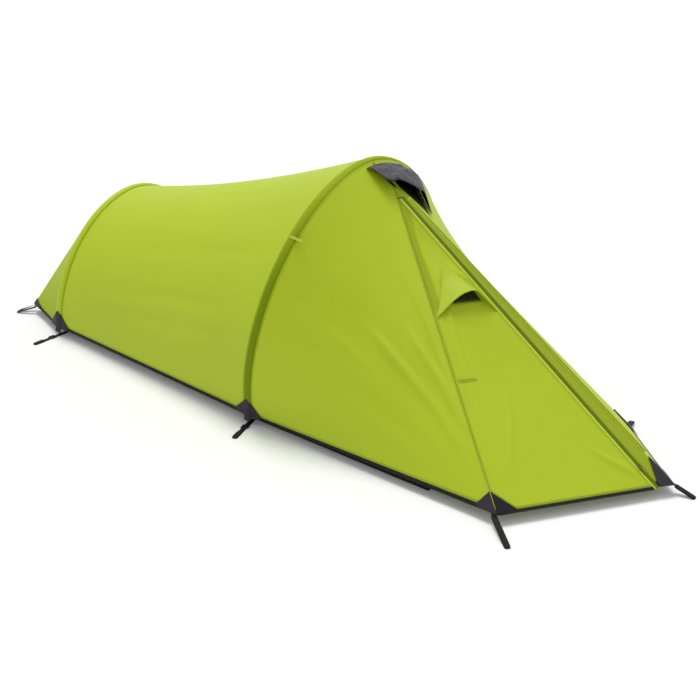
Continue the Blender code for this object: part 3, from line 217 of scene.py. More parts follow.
def shell(name, grid, thickness, hole=None, ring=False):
    # A closed skin: both faces stand half the thickness off the grid along its normals,
    # and quads close each edge where a kept cell has no kept neighbour
    rows, columns = grid.shape[:2]
    if ring:
        padded = np.concatenate([grid[:, -1:], grid, grid[:, :1]], axis=1)
        normals = normalsOf(padded)[:, 1:-1]
    else:
        normals = normalsOf(grid)
    keep = np.ones((rows - 1, columns if ring else columns - 1), bool)
    if hole is not None:
        keep[hole[0]:hole[1], hole[2]:hole[3]] = False
    index = np.arange(rows * columns).reshape(rows, columns)
    closed = np.concatenate([grid, grid[:, :1]], axis=1) if ring else grid
    index = np.concatenate([index, index[:, :1]], axis=1) if ring else index
    # u and v run in metres over the cloth
    alongRow = np.linalg.norm(np.diff(closed, axis=1), axis=-1)
    alongColumn = np.linalg.norm(np.diff(closed, axis=0), axis=-1)
    u = np.concatenate([np.zeros((rows, 1)), np.cumsum(alongRow, axis=1)], axis=1)
    v = np.concatenate([np.zeros((1, closed.shape[1])), np.cumsum(alongColumn, axis=0)])
    rim = np.minimum(v, v[-1:] - v) if ring else np.minimum.reduce(
        [u, u[:, -1:] - u, v, v[-1:] - v])
    if hole is not None:
        rim[hole[0]:hole[1] + 1, hole[2]:hole[3] + 1] = 0.0

    r, c = np.nonzero(keep)

    def cells(values):
        # the four corners of each kept cell
        return np.stack([values[r, c], values[r, c + 1], values[r + 1, c + 1],
                         values[r + 1, c]], axis=1)

    corner, spot = cells(index), cells(np.stack([u, v], axis=-1))
    under = rows * columns
    quads = [corner, corner[:, ::-1] + under]
    places = [spot, spot[:, ::-1]]
    padded = np.pad(keep, 1)
    if ring:
        padded[:, 0], padded[:, -1] = padded[:, -2], padded[:, 1]
    beyond = (padded[r, c + 1], padded[r + 1, c + 2], padded[r + 2, c + 1], padded[r + 1, c])
    for side, neighbour in enumerate(beyond):
        a, b = corner[~neighbour, side], corner[~neighbour, (side + 1) % 4]
        p, q = spot[~neighbour, side], spot[~neighbour, (side + 1) % 4]
        quads.append(np.stack([b, a, a + under, b + under], axis=1))
        places.append(np.stack([q, p, p, q], axis=1))
    quads = np.concatenate(quads)
    points = np.concatenate([(grid + normals * thickness / 2).reshape(-1, 3),
                             (grid - normals * thickness / 2).reshape(-1, 3)])
    edge = np.tile(rim[:, :columns].ravel(), 2)
    used = np.unique(quads)
    renumber = np.zeros(len(points), int)
    renumber[used] = np.arange(len(used))
    piece = meshFrom(name, points[used], renumber[quads], np.concatenate(places), edge[used])
    cell = cells(closed)
    area = 0.5 * np.linalg.norm(np.cross(cell[:, 2] - cell[:, 0], cell[:, 3] - cell[:, 1]),
                                axis=-1).sum()
    piece["cut"] = [float(u[:, -1].max()), float(v[-1].max()), float(area)]
    return piece


def roundTube(name, path, radius, sides=10):
    # A ring of radius metres carried along the path, square to it
    ahead = unit(np.gradient(path, axis=0))
    side = unit(np.cross(ahead, np.where(abs(ahead[:, 2:]) > 0.9, [[1.0, 0.0, 0.0]], [up])))
    over = np.cross(ahead, side)
    a = np.linspace(0.0, 2 * math.pi, sides, endpoint=False)[None, :, None]
    scale = np.ones((len(path), 1, 1)) * radius
    scale[0], scale[-1] = radius * 0.3, radius * 0.3
    grid = path[:, None] + (side[:, None] * np.cos(a) + over[:, None] * np.sin(a)) * scale
    rows = len(path)
    points = np.concatenate([grid.reshape(-1, 3), path[:1], path[-1:]])
    r, c = np.meshgrid(np.arange(rows - 1), np.arange(sides), indexing="ij")
    r, c = r.ravel(), c.ravel()
    right = (c + 1) % sides
    faces = np.stack([r * sides + c, r * sides + right, (r + 1) * sides + right,
                      (r + 1) * sides + c], axis=1)
    ring = np.arange(sides)
    tip = rows * sides
    caps = np.concatenate([np.stack([np.roll(ring, -1), ring, np.full(sides, tip)], 1),
                           np.stack([ring, np.roll(ring, -1), np.full(sides, 1)], 1)
                           + [(rows - 1) * sides, (rows - 1) * sides, tip]])
    mesh = bpy.data.meshes.new(name)
    mesh.from_pydata(points.tolist(), [], faces.tolist() + caps.tolist())
    layer = mesh.uv_layers.new(name="UVMap")
    index = np.zeros(len(mesh.loops), np.int32)
    mesh.loops.foreach_get("vertex_index", index)
    run = np.concatenate([np.repeat(runOf(path), sides), [0.0, runOf(path)[-1]]])
    around = np.concatenate([np.tile(ring / sides, rows), [0.0, 0.0]]) * radius * 2 * math.pi
    layer.data.foreach_set("uv", np.stack([around[index], run[index]], 1).ravel())
    mesh.polygons.foreach_set("use_smooth", np.ones(len(mesh.polygons), bool))
    mesh.update()
    return placed(name, mesh)


# Materials

def colour(code):
    # sRGB hex to linear
    channels = [int(code[k:k + 2], 16) / 255 for k in (1, 3, 5)]
    return [c / 12.92 if c <= 0.04045 else ((c + 0.055) / 1.055) ** 2.4 for c in channels] + [1.0]


def addNode(tree, kind, inputs, out=0, **options):
    # One node. Each input, by name or number, is a value or another node's output.
    # It gives back one of its own outputs.
    node = tree.nodes.new(kind)
    for key, value in options.items():
        setattr(node, key, value)
    for key, value in inputs.items():
        if isinstance(value, bpy.types.NodeSocket):
            tree.links.new(value, node.inputs[key])
        else:
            node.inputs[key].default_value = value
    return node.outputs[out] if len(node.outputs) else None


def maths(tree, operation, *inputs):
    return addNode(tree, "ShaderNodeMath", dict(enumerate(inputs)), operation=operation)


def mixed(tree, share, first, second):
    return addNode(tree, "ShaderNodeMix", {0: share, 6: first, 7: second}, 2, data_type="RGBA")


def ranged(tree, *inputs):
    # the value, the range it comes from and the range it goes to
    return addNode(tree, "ShaderNodeMapRange", dict(enumerate(inputs)))


def noise(tree, place, scale, detail, distortion=0.0):
    return addNode(tree, "ShaderNodeTexNoise", {"Vector": place, "Scale": scale,
                                                "Detail": detail, "Distortion": distortion})


def bumped(tree, height, strength, distance, normal=None, invert=False):
    # a relief over the normal that is there already
    inputs = {"Height": height, "Strength": strength, "Distance": distance}
    if normal is not None:
        inputs["Normal"] = normal
    return addNode(tree, "ShaderNodeBump", inputs, invert=invert)


def placeOn(tree, kind):
    # Object runs in metres from the tent's middle, UV in metres over the flat cloth
    return addNode(tree, "ShaderNodeTexCoord", {}, kind)


def partsOf(tree, vector):
    return addNode(tree, "ShaderNodeSeparateXYZ", {0: vector}).node.outputs


def threads(tree, places, pitch, solid, clear, between):
    # threads both ways: one on a thread, falling to what is between them from solid to clear
    strands = [ranged(tree, maths(tree, "PINGPONG", place, pitch / 2), solid, clear, 1.0, between)
               for place in places]
    return maths(tree, "MAXIMUM", *strands)


def newMaterial(name):
    material = bpy.data.materials.new(name)
    material.use_nodes = True
    material.node_tree.nodes.clear()
    return material, material.node_tree


def finished(material, shader):
    addNode(material.node_tree, "ShaderNodeOutputMaterial", {0: shader})
    return material


flyLook = dict(light="#C2D72B", shade="#B7CC22", gridColour="#94A80E", gridStrength=0.14,
               grid=0.008, thread=0.0007, cloudScale=1.7, band=0.009, bandStrength=0.2,
               bandColour="#8C9F12", threadColour="#74870A", crumple=0.13, crumpleScale=22.0,
               roughness=0.5, specular=0.3, translucent=0.12)
# stitches: dashes in a row at a share of the hem band's width
stitching = dict(halfPitch=0.003, halfGap=0.0012, bandShare=0.7, halfWidth=0.0006, strength=0.7)


def wovenCloth(name, **changes):
    # Plain-woven nylon: a fine weave, a ripstop grid of thicker threads, a little shade
    # from one place to the next, and a darker doubled band with stitches at every edge
    look = dict(flyLook, **changes)
    material, tree = newMaterial(name)
    uv, place = placeOn(tree, "UV"), placeOn(tree, "Object")
    across, along, _ = partsOf(tree, uv)
    cloud = noise(tree, place, look["cloudScale"], 3.0)
    ripstop = threads(tree, (across, along), look["grid"], 0.0, look["thread"], 0.0)
    edge = addNode(tree, "ShaderNodeAttribute", {}, "Fac", attribute_name="hemDistance")
    band = ranged(tree, edge, look["band"], look["band"] + 0.002, look["bandStrength"], 0.0)
    dash = maths(tree, "PINGPONG", maths(tree, "ADD", across, along), stitching["halfPitch"])
    stitch = maths(tree, "MULTIPLY", maths(tree, "GREATER_THAN", dash, stitching["halfGap"]),
                   maths(tree, "COMPARE", edge, look["band"] * stitching["bandShare"],
                         stitching["halfWidth"]))

    layers = [(maths(tree, "MULTIPLY", ripstop, look["gridStrength"]), "gridColour")]
    # painted shade: a darker strip beside a seam, where a look gives its colour
    if "backedColour" in look:
        layers.append((addNode(tree, "ShaderNodeAttribute", {}, "Fac", attribute_name="backed"),
                       "backedColour"))
    # painted light: lighter higher up, from highFrom to highTo metres
    if "highColour" in look:
        layers.append((ranged(tree, partsOf(tree, place)[2], look["highFrom"], look["highTo"]),
                       "highColour"))
    layers += [(band, "bandColour"),
               (maths(tree, "MULTIPLY", stitch, stitching["strength"]), "threadColour")]
    tone = mixed(tree, cloud, colour(look["shade"]), colour(look["light"]))
    for share, code in layers:
        tone = mixed(tree, share, tone, colour(look[code]))

    normal = bumped(tree, noise(tree, place, look["crumpleScale"], 3.0, 0.4),
                    look["crumple"], 0.004)
    normal = bumped(tree, noise(tree, uv, 420.0, 1.0), 0.25, 0.0003, normal)
    normal = bumped(tree, ripstop, 0.5, 0.0004, normal)
    normal = bumped(tree, stitch, 0.6, 0.0012, normal, invert=True)
    rough = ranged(tree, cloud, 0.0, 1.0, look["roughness"] - 0.06, look["roughness"] + 0.08)
    shader = addNode(tree, "ShaderNodeBsdfPrincipled", {
        "Base Color": tone, "Roughness": rough, "Normal": normal, "IOR": 1.45,
        "Specular IOR Level": look["specular"]})
    if look["translucent"]:
        through = addNode(tree, "ShaderNodeBsdfTranslucent", {"Color": tone, "Normal": normal})
        shader = addNode(tree, "ShaderNodeMixShader", {0: look["translucent"], 1: shader,
                                                       2: through})
    return finished(material, shader)


# siliconised ripstop nylon: satin, slightly see-through, a faint 8 mm ripstop grid
# (5 mm on the real one, drawn coarser so that it shows)
flyNylon = wovenCloth("siliconised ripstop nylon")
# the zip tape: the fly's nylon painted lighter, a painted highlight along the door's edge
paintedHighlightNylon = wovenCloth("zip tape nylon", light="#D8EA4A", shade="#CBDE3C",
                         gridColour="#B4C82A", bandColour="#C3D63A")
# the front: its strip beside the zip is painted darker as painted shade along the ridge, in the
# colour of its hem bands
frontNylon = wovenCloth("front nylon", bandColour="#98AC1C", bandStrength=0.75)
# the door: a strip beside its seam is painted darker, painted shade beside the seam
doorNylon = wovenCloth("door nylon", backedColour="#A3B818")
# the same nylon doubled: painted darker and greener as painted shade for the light that doesn't
# get through it, and painted lighter near the top of the hoop as painted light
doubledNylon = wovenCloth(
    "doubled ripstop nylon", light="#7C9206", shade="#6C8200", gridColour="#566A00",
    bandColour="#566A00", highColour="#97AD14", highFrom=0.50, highTo=0.84, crumple=0.16,
    roughness=0.65, specular=0.12, translucent=0.0)
# the rear end, away from the light: less gloss, and a darker tone that is painted shade
rearNylon = wovenCloth("rear nylon", light="#AFC521", shade="#A4BA18", specular=0.12)
# the flap on the ridge: painted darker as painted shade, its edge band and stitches painted bright
# as a painted highlight
flapNylon = wovenCloth(
    "storm flap nylon", light="#8CA21E", shade="#7B9112", gridColour="#5E7200", band=0.0022,
    bandColour="#C3D63A", bandStrength=0.8, threadColour="#C3D63A", specular=0.15,
    translucent=0.0)
# the awning: the fly's nylon, more crumpled and without a hem band
awningNylon = wovenCloth("awning nylon", light="#BFD42A", shade="#B2C71F", crumple=0.25,
                         band=0.004, bandStrength=0.0)
# the hood's grey nylon: blotched and crushed
hoodNylon = wovenCloth(
    "grey ripstop nylon", light="#5A595F", shade="#242328", gridColour="#2C2C31",
    bandColour="#222227", threadColour="#1A1A1E", gridStrength=0.3, cloudScale=16.0,
    crumple=0.9, crumpleScale=30.0, band=0.010, bandStrength=0.8, specular=0.25,
    translucent=0.0)
# coated polyester of the corner patches: charcoal, a tight plain weave, nearly matt
patchCloth = wovenCloth(
    "charcoal reinforcement cloth", light="#2F2C34", shade="#26232A", gridColour="#3A3740",
    bandColour="#1B191E", threadColour="#4A4850", gridStrength=0.3, grid=0.004,
    thread=0.0006, band=0.004, roughness=0.6, translucent=0.0)
# black tape folded over the hem: matt, its threads close together
hemBinding = wovenCloth(
    "black hem binding", light="#1B1A1C", shade="#121113", gridColour="#242328",
    bandColour="#0C0C0D", threadColour="#3B3D2A", gridStrength=0.4, grid=0.003,
    thread=0.0005, band=0.0025, roughness=0.7, specular=0.25, translucent=0.0)
# breathable uncoated nylon of the inner tent: pale and a little see-through
innerNylon = wovenCloth(
    "pale breathable nylon", light="#D6D5C8", shade="#C9C8BA", gridColour="#B4B3A5",
    bandColour="#8E8E83", threadColour="#77776E", roughness=0.7, specular=0.2,
    translucent=0.3)
# heavier coated nylon of the groundsheet: near black, smoother than the fly
floorNylon = wovenCloth(
    "black groundsheet nylon", light="#26272B", shade="#1C1D20", gridColour="#33343A",
    bandColour="#111214", threadColour="#45464C", gridStrength=0.25, crumple=0.35,
    roughness=0.42, translucent=0.0)


def wovenStrap(name, rib, dark, light, roughness):
    # Narrow woven tape or braid: ribs across it, cloudy with dust
    material, tree = newMaterial(name)
    along = partsOf(tree, placeOn(tree, "UV"))[1]
    ribs = ranged(tree, maths(tree, "PINGPONG", along, rib / 2), 0.0, rib / 2)
    share = maths(tree, "MULTIPLY", ribs, noise(tree, placeOn(tree, "Object"), 60.0, 2.0))
    return finished(material, addNode(tree, "ShaderNodeBsdfPrincipled", {
        "Base Color": mixed(tree, share, colour(dark), colour(light)),
        "Normal": bumped(tree, ribs, 0.7, 0.0006), "IOR": 1.45, "Roughness": roughness,
        "Specular IOR Level": 0.3}))


# black polypropylene webbing, matt: a rib every 4 mm, coarser than the real 2 mm
blackWebbing = wovenStrap("black woven webbing", 0.004, "#060606", "#1C1C1C", 0.75)
# the cord of the loops: olive, its braid drawn in 3 mm steps
loopCord = wovenStrap("olive braided cord", 0.003, "#A5B92C", "#DDEE66", 0.7)
# braided elastic over a rubber core
shockCordBraid = wovenStrap("braided shock cord", 0.0012, "#1E1E20", "#5A5A60", 0.7)


def netting(name, pitch, between, tone):
    # Knitted insect netting: threads in two directions with open holes between them.
    # The real holes are under 1 mm; they are drawn at 3 mm so that they show.
    material, tree = newMaterial(name)
    turned = addNode(tree, "ShaderNodeMapping", {"Vector": placeOn(tree, "UV"),
                                                 "Rotation": (0.0, 0.0, math.pi / 4)})
    across, along, _ = partsOf(tree, turned)
    net = threads(tree, (across, along), pitch, pitch * 0.12, pitch * 0.2, between)
    return finished(material, addNode(tree, "ShaderNodeBsdfPrincipled", {
        "Base Color": colour(tone), "IOR": 1.45, "Roughness": 0.6, "Specular IOR Level": 0.3,
        "Alpha": net}))


# netting lets the light through between its threads; olive on the door, black elsewhere
blackMesh = netting("black insect netting", 0.003, 0.45, "#101011")
ventMesh = netting("olive insect netting", 0.003, 0.6, "#2C330E")


def plainSolid(name, dark, light, grain, roughness, finish):
    # Moulded or drawn solid: colour and gloss vary a little, over a fine texture
    material, tree = newMaterial(name)
    fine = noise(tree, placeOn(tree, "Object"), grain, 4.0)
    return finished(material, addNode(tree, "ShaderNodeBsdfPrincipled", {
        **finish, "Base Color": mixed(tree, fine, colour(dark), colour(light)),
        "Roughness": ranged(tree, fine, 0.0, 1.0, roughness - 0.06, roughness + 0.1),
        "Normal": bumped(tree, fine, 0.25, 0.0002)}))


# anodised 7001 aluminium tube: grey-gold, satin, finely brushed
anodisedTube = plainSolid("anodised aluminium tube", "#8A8A86", "#B9B8B0", 500.0, 0.32,
                          {"Metallic": 1.0})
# glass-filled acetal: black, fine mould texture, half matt
blackAcetal = plainSolid("black moulded acetal", "#121213", "#1E1E20", 900.0, 0.42,
                         {"IOR": 1.48})
# nylon coil of the zip on its tape: olive, half matt; partly its own olive, partly painted shade
# of the gap along the door's edge
zipCoil = plainSolid("olive nylon zip coil", "#52620A", "#70821A", 400.0, 0.5,
                     {"IOR": 1.53, "Specular IOR Level": 0.1})
# painted zinc of the slider and its pull: the cloth's own dark olive, half gloss
oliveZinc = plainSolid("olive painted zinc", "#5E6E0C", "#7C8F18", 700.0, 0.38, {"IOR": 1.5})
print("materials made")


# Every new piece is sewn cloth or tape, so one function hands them all over

def handOver(piece, material, nodes, body="tent", sheetHeld="stretched"):
    piece.data.materials.append(material)
    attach(piece, body)
    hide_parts(*nodes)
    if sheetHeld:
        wide, long, area = piece["cut"]
        if area < 0.45 * wide * long:      # it tapers, so half of its flat box is cloth
            wide = 2.0 * area / long
        print("cut", piece.name, round(wide, 3), round(long, 3), round(area, 4))
    if "cut" in piece:
        del piece["cut"]
    return piece


# Hoops: the curves that the poles are bent to

frontHoop = dict(footX=0.015, height=0.8935, halfWidth=0.546, widestZ=0.21, lean=0.139,
                 power=1.87)
rearHoop = dict(footX=-1.166, height=0.546, halfWidth=0.426, widestZ=0.06, lean=0.052,
                power=1.87)
hem = dict(height=0.035, tapeHeight=0.012, doorTapeHeight=0.007, tapeThickness=0.0016,
           gap=0.0003, seamGap=0.0006, step=0.012, ease=0.003,
           swell=((-0.012, 0.0), (-0.005, 1.0), (0.005, 1.0), (0.012, 0.0)),
           wave=dict(seed=71, lowest=60.0, highest=190.0, height=0.0005))
pole = dict(radius=0.00425, outset=0.0007)      # it presses on the outside of its sleeve
sleeveShape = dict(halfWidth=0.015, halfDepth=0.0065, thickness=0.0010, columns=28,
                   play=0.0002, ripple=dict(seed=11, lowest=18.0, highest=46.0, height=0.0004))
frontSteps = 144            # stations round the front hoop
rearSteps = 112             # and round the rear one, for the rear end
cornerSteps = rearSteps * 2 // 7        # of these, up to the rear corner
panelEdge = sleeveShape["halfWidth"] + hem["gap"]
clothLowZ = hem["height"] + hem["tapeHeight"] + hem["gap"]


def hoopCurve(hoop, angles):
    # superellipse: y and z are powers of the cosine and sine, and x leans with the height
    c, s = np.cos(angles), np.sin(angles)
    power = 2.0 / hoop["power"]
    y = -hoop["halfWidth"] * np.sign(c) * np.abs(c) ** power
    z = hoop["widestZ"] + (hoop["height"] - hoop["widestZ"]) * np.sign(s) * np.abs(s) ** power
    return np.stack([hoop["footX"] + hoop["lean"] * z, y, z], axis=-1)


def hoopAngle(hoop, z):
    # angle on the door side where the hoop passes a height
    share = (np.asarray(z, float) - hoop["widestZ"]) / (hoop["height"] - hoop["widestZ"])
    return np.sign(share) * np.arcsin(np.minimum(1.0, np.abs(share) ** (hoop["power"] / 2.0)))


def hoopAxis(hoop):
    return unit((1.0, 0.0, -hoop["lean"]))


def hoopStations(hoop, steps):
    # points at equal lengths round the hoop above the hem, and the way out at each
    start = float(hoopAngle(hoop, clothLowZ))
    points = hoopCurve(hoop, np.linspace(start, math.pi - start, 8001))
    run = runOf(points)
    wanted = np.linspace(0.0, run[-1], steps + 1)
    along = unit(atRuns(wanted, run, np.gradient(points, axis=0)))
    return atRuns(wanted, run, points), np.cross(hoopAxis(hoop), along)


def hemAt(hoop, z, axial, side):
    # a point of the hem beside a hoop, axial metres along the tent from the pole
    point = hoopCurve(hoop, hoopAngle(hoop, z)) * np.array([1.0, -side, 1.0])
    return point + hoopAxis(hoop) * axial


def beforeSeam(start, seam):
    # the points of a seam, drawn back towards the start by the gap of a seam
    span = np.linalg.norm(seam - start, axis=-1, keepdims=True)
    return mix(start, seam, 1.0 - hem["seamGap"] / span)


def pegAngle(grid, corner):
    # how steeply a line from a pegged corner rises to each point
    reach = grid - corner
    return np.arctan2(reach[..., 2], np.hypot(reach[..., 0], reach[..., 1]))


frontLine, frontOut = hoopStations(frontHoop, frontSteps)
rearLine, rearOut = hoopStations(rearHoop, frontSteps)
rearStations = hoopStations(rearHoop, rearSteps)[0]
frontAxis, rearAxis = hoopAxis(frontHoop), hoopAxis(rearHoop)
frontTop = hoopCurve(frontHoop, np.array(math.pi / 2))
doorTop = frontTop + np.array([0.110, 0.0, -0.0605])
nearCorner = np.array([1.1325, -0.542, hem["height"]])
tipCorner = np.array([1.452, 0.0, hem["height"]])
farCorner = np.array([1.115, 0.288, hem["height"]])
riseScale = doorTop[2] - hem["height"]
clothLow = (clothLowZ - hem["height"]) / riseScale
doorLow = (hem["doorTapeHeight"] + hem["gap"]) / riseScale


# Tunnel between the hoops

tunnel = dict(sag=0.034, sideSag=0.012, rows=121, thickness=0.0006, slant=0.035,
              crease=dict(width=0.034, height=0.0095),
              streaks=dict(seed=3, lowest=9.0, highest=42.0, height=0.0013),
              puckers=[dict(edge="first", pitch=0.034, depth=0.0012, reach=0.05, seed=5),
                       dict(edge="last", pitch=0.034, depth=0.0014, reach=0.06, seed=6)])
# long soft pulls that run from the front sleeve down to the rear sleeve
tunnelPulls = [
    [(-0.02, -0.505, 0.42), (-0.45, -0.46, 0.36), (-0.95, -0.42, 0.26)],
    [(-0.03, -0.535, 0.30), (-0.5, -0.49, 0.25), (-1.0, -0.43, 0.17)],
    [(-0.03, -0.40, 0.62), (-0.4, -0.38, 0.53), (-0.8, -0.34, 0.44)],
]


def tunnelGrid():
    # Cloth between the hoops: straight across, drawn in by the sag in the middle
    share = shares(tunnel["rows"])[:, None, None]
    rear = rearLine + rearAxis * panelEdge
    front = frontLine - frontAxis * panelEdge
    pull = shares(len(frontLine))
    depth = tunnel["sideSag"] + (tunnel["sag"] - tunnel["sideSag"]) * np.sin(math.pi * pull) ** 2
    depth = depth * np.minimum(1.0, 8.0 * np.minimum(pull, 1.0 - pull))
    grid = mix(rear, front, share)
    out = mix(rearOut, frontOut, share)
    return grid - out * depth[:, None] * 4.0 * share * (1.0 - share)


def makeTunnel():
    grid = tunnelGrid()
    along = shares(grid.shape[0])[:, None]
    around = shares(grid.shape[1])[None, :]
    slanted = around + tunnel["slant"] * (along - 0.5) * np.cos(math.pi * around)
    height = streaks(slanted, **tunnel["streaks"]) * window(grid, 0.7)
    height += puckers(grid, tunnel["puckers"])
    height += creases(grid, tunnelPulls, **tunnel["crease"]) * window(grid, 0.3)
    piece = shell("tunnel_cloth", raised(grid, height), tunnel["thickness"])
    handOver(piece, flyNylon, ["tunnel_fly"])


def makeSleeve(name, node, hoop, line, out, cloth):
    # An oval tube of doubled cloth along the hoop, open at both feet
    a = np.linspace(0.0, 2 * math.pi, sleeveShape["columns"], endpoint=False)[None, ::-1, None]
    axis = hoopAxis(hoop)
    ripple = streaks(runOf(line), **sleeveShape["ripple"])[:, None, None]
    wide = sleeveShape["halfWidth"] - sleeveShape["play"] - np.abs(ripple) * 0.5
    grid = (line[:, None] + axis * np.cos(a) * wide
            + out[:, None] * np.sin(a) * (sleeveShape["halfDepth"] + ripple))
    piece = shell(name, grid, sleeveShape["thickness"], ring=True)
    handOver(piece, cloth, [node])


# Rear end

rearEnd = dict(reach=0.283, halfWidth=0.326, thickness=0.0006, rows=49, slant=0.02,
               streaks=dict(seed=21, lowest=7.0, highest=26.0, height=0.0012),
               puckers=[dict(edge="last", pitch=0.03, depth=0.0010, reach=0.04, seed=22)])


def rearHem(z):
    # the hem of the rear end at one height, from the near foot of the hoop to the far one
    near = hemAt(rearHoop, z, -panelEdge, -1.0)
    flip = np.array([1.0, -1.0, 1.0])
    lean = rearEnd["reach"] * (z - hem["height"]) / rearHoop["height"]
    corner = np.array([rearHoop["footX"] - rearEnd["reach"] + lean,
                       lean * 0.3 - rearEnd["halfWidth"], z])
    return np.concatenate([lineOf(near, corner, cornerSteps + 1)[:-1],
                           lineOf(corner, corner * flip, rearSteps - 2 * cornerSteps + 1),
                           lineOf(corner * flip, near * flip, cornerSteps + 1)[1:]])


def makeRear():
    low = rearHem(clothLowZ)
    top = rearStations - rearAxis * panelEdge
    share = shares(rearEnd["rows"])
    grid = mix(low, top, share[:, None, None])
    around = shares(grid.shape[1])[None, :] + rearEnd["slant"] * share[:, None]
    height = streaks(around, **rearEnd["streaks"]) * window(grid, 0.8)
    height += puckers(grid, rearEnd["puckers"])
    piece = shell("rear_end_cloth", raised(grid, height), rearEnd["thickness"])
    handOver(piece, rearNylon, ["rear_fly_panel"])


# Porch: near and far side, door, front

porch = dict(thickness=0.0006, belly=0.006, farBelly=0.028, panelTop=0.985, foldDepth=0.004,
             foldCount=5, fanAngle=0.9, crease=dict(width=0.017, height=0.0125),
             streaks=dict(seed=31, lowest=5.0, highest=22.0, height=0.0008),
             farStreaks=dict(seed=34, lowest=5.0, highest=20.0, height=0.00128),
             puckers=[dict(edge="left", pitch=0.03, depth=0.0013, reach=0.045, seed=32),
                      dict(edge="right", pitch=0.022, depth=0.0008, reach=0.03, seed=33)],
             farPuckers=[dict(edge="left", pitch=0.03, depth=0.0012, reach=0.045, seed=35)])
# folds that the photograph shows on the near side, all pulled from the near peg
nearFolds = [
    [(0.108, -0.293, 0.623), (0.459, -0.364, 0.434), (0.758, -0.417, 0.28),
     (0.984, -0.474, 0.149)],
    [(0.23, -0.104, 0.747), (0.421, -0.169, 0.621), (0.64, -0.27, 0.453), (0.831, -0.378, 0.289)],
    [(0.529, -0.294, 0.471), (0.754, -0.36, 0.332), (0.95, -0.43, 0.2)],
    [(0.613, -0.396, 0.351), (0.82, -0.442, 0.236), (1.014, -0.502, 0.113)],
    [(0.332, -0.431, 0.421), (0.669, -0.464, 0.27), (0.974, -0.502, 0.128)],
    [(0.293, -0.543, 0.335), (0.736, -0.545, 0.174), (0.989, -0.521, 0.105)],
]
vent = dict(rows=(56, 68), columns=(8, 40), calm=4, meshThickness=0.0005, margin=0.0006)


def sideLines(side):
    # hoop edge and seam of a side panel, one point for each station of half the hoop
    count = frontSteps // 2 + 1
    steps = np.arange(count) if side < 0 else np.arange(frontSteps, frontSteps - count, -1)
    corner = nearCorner if side < 0 else farCorner
    edge = frontLine[steps] + frontAxis * panelEdge
    edge[-1, 1] += side * hem["seamGap"]
    rises = np.linspace(clothLow, porch["panelTop"], count)[:, None]
    return edge, beforeSeam(edge, mix(corner, doorTop, rises))


def sideGrid(side, count):
    # Straight lines from hoop to seam, drawn in by a belly, with ripples that are a sine
    # of the angle round the pegged corner
    edge, seam = sideLines(side)
    over = shares(count)
    grid = mix(edge[:, None], seam[:, None], over[None, :, None])
    outward = facing(np.cross(seam[0] - edge[0], up), (0.0, side, 0.0))
    rise = shares(len(edge))[:, None]
    weight = np.sin(math.pi * rise) * 4.0 * over * (1.0 - over)
    grid = grid - outward * (porch["belly" if side < 0 else "farBelly"] * weight)[..., None]
    angle = pegAngle(grid, nearCorner if side < 0 else farCorner)
    wave = np.sin(angle * porch["foldCount"] * 2.0 * math.pi / porch["fanAngle"])
    return grid + outward * (wave * weight * porch["foldDepth"])[..., None], angle, outward


def shrunk(grid, margin):
    # the grid with its four edges drawn in by a margin
    small = grid.copy()
    for edge, inside in ((0, 1), (-1, -2)):
        small[edge] += unit(grid[inside] - grid[edge]) * margin
        small[:, edge] += unit(grid[:, inside] - grid[:, edge]) * margin
    return small


def alongOutward(grid, height, outward):
    # moves each point by the height along its normal, on the side of outward
    normals = normalsOf(grid)
    sign = np.sign((normals * outward).sum(axis=-1, keepdims=True).mean())
    return grid + normals * sign * height[..., None]


def makePorchSides():
    near, angle, outward = sideGrid(-1.0, 97)
    height = creases(near, nearFolds, **porch["crease"]) * window(near, 0.2)
    height += streaks(angle, **porch["streaks"]) * window(near, 0.6)
    height += puckers(near, porch["puckers"])
    piece = shell("near_porch_cloth", alongOutward(near, height, outward), porch["thickness"])
    handOver(piece, flyNylon, ["near_porch_panel"])

    far, angle, outward = sideGrid(1.0, 57)
    low, high = vent["rows"]
    left, right = vent["columns"]
    clear, rim = np.ones(far.shape[:2]), vent["calm"]
    clear[low - rim:high + rim + 1, left - rim:right + rim + 1] = 0.0
    height = streaks(angle, **porch["farStreaks"]) * window(far, 0.6)
    height = (height + puckers(far, porch["farPuckers"])) * clear
    piece = shell("far_porch_cloth", alongOutward(far, height, outward), porch["thickness"],
                  hole=(low, high, left, right))
    handOver(piece, flyNylon, ["far_porch_panel"])
    patch = shrunk(far[low:high + 1, left:right + 1], vent["margin"])
    piece = shell("roof_vent_netting", patch, vent["meshThickness"])
    handOver(piece, blackMesh, ["top_vent_mesh"])


doorShape = dict(belly=0.008, head=0.946, ventLow=0.602, ventHigh=0.635, ventNear=0.36,
                 ventFar=0.88, rows=(73, 5, 33), columns=(33, 49, 13), zipFoot=0.062,
                 zipTop=0.014, thickness=0.0006, crease=dict(width=0.014, height=0.0090),
                 streaks=dict(seed=41, lowest=3.0, highest=14.0, height=0.0007),
                 puckers=[dict(edge="left", pitch=0.022, depth=0.0008, reach=0.03, seed=42),
                          dict(edge="right", pitch=0.020, depth=0.0008, reach=0.03, seed=43)])
seamFold = dict(reach=0.036, share=0.42, slope=0.18, tail=1.8, low=0.58, lowFade=0.14,
                headFade=0.012)
# the strip of painted shade beside the door's seam: its width, soft edge and lower end
seamShadeStrip = dict(width=0.034, edge=0.009, low=0.575, lowFade=0.01)
zipShape = dict(chainHalfWidth=0.003, tapeWidth=0.006, tapeThickness=0.0012, coilPitch=0.0036,
                coilHeight=0.0009)
patchShape = dict(side=0.080, rise=0.085, tipRise=0.125, endRise=0.014, rearRise=0.034,
                  rearSideRise=0.022, lift=0.0034, rearEase=0.0008, thickness=0.0010,
                  foot=0.001, cornerStart=0.003, zipGap=0.003,
                  wave=dict(seed=91, lowest=1.0, highest=4.0, height=0.00025))
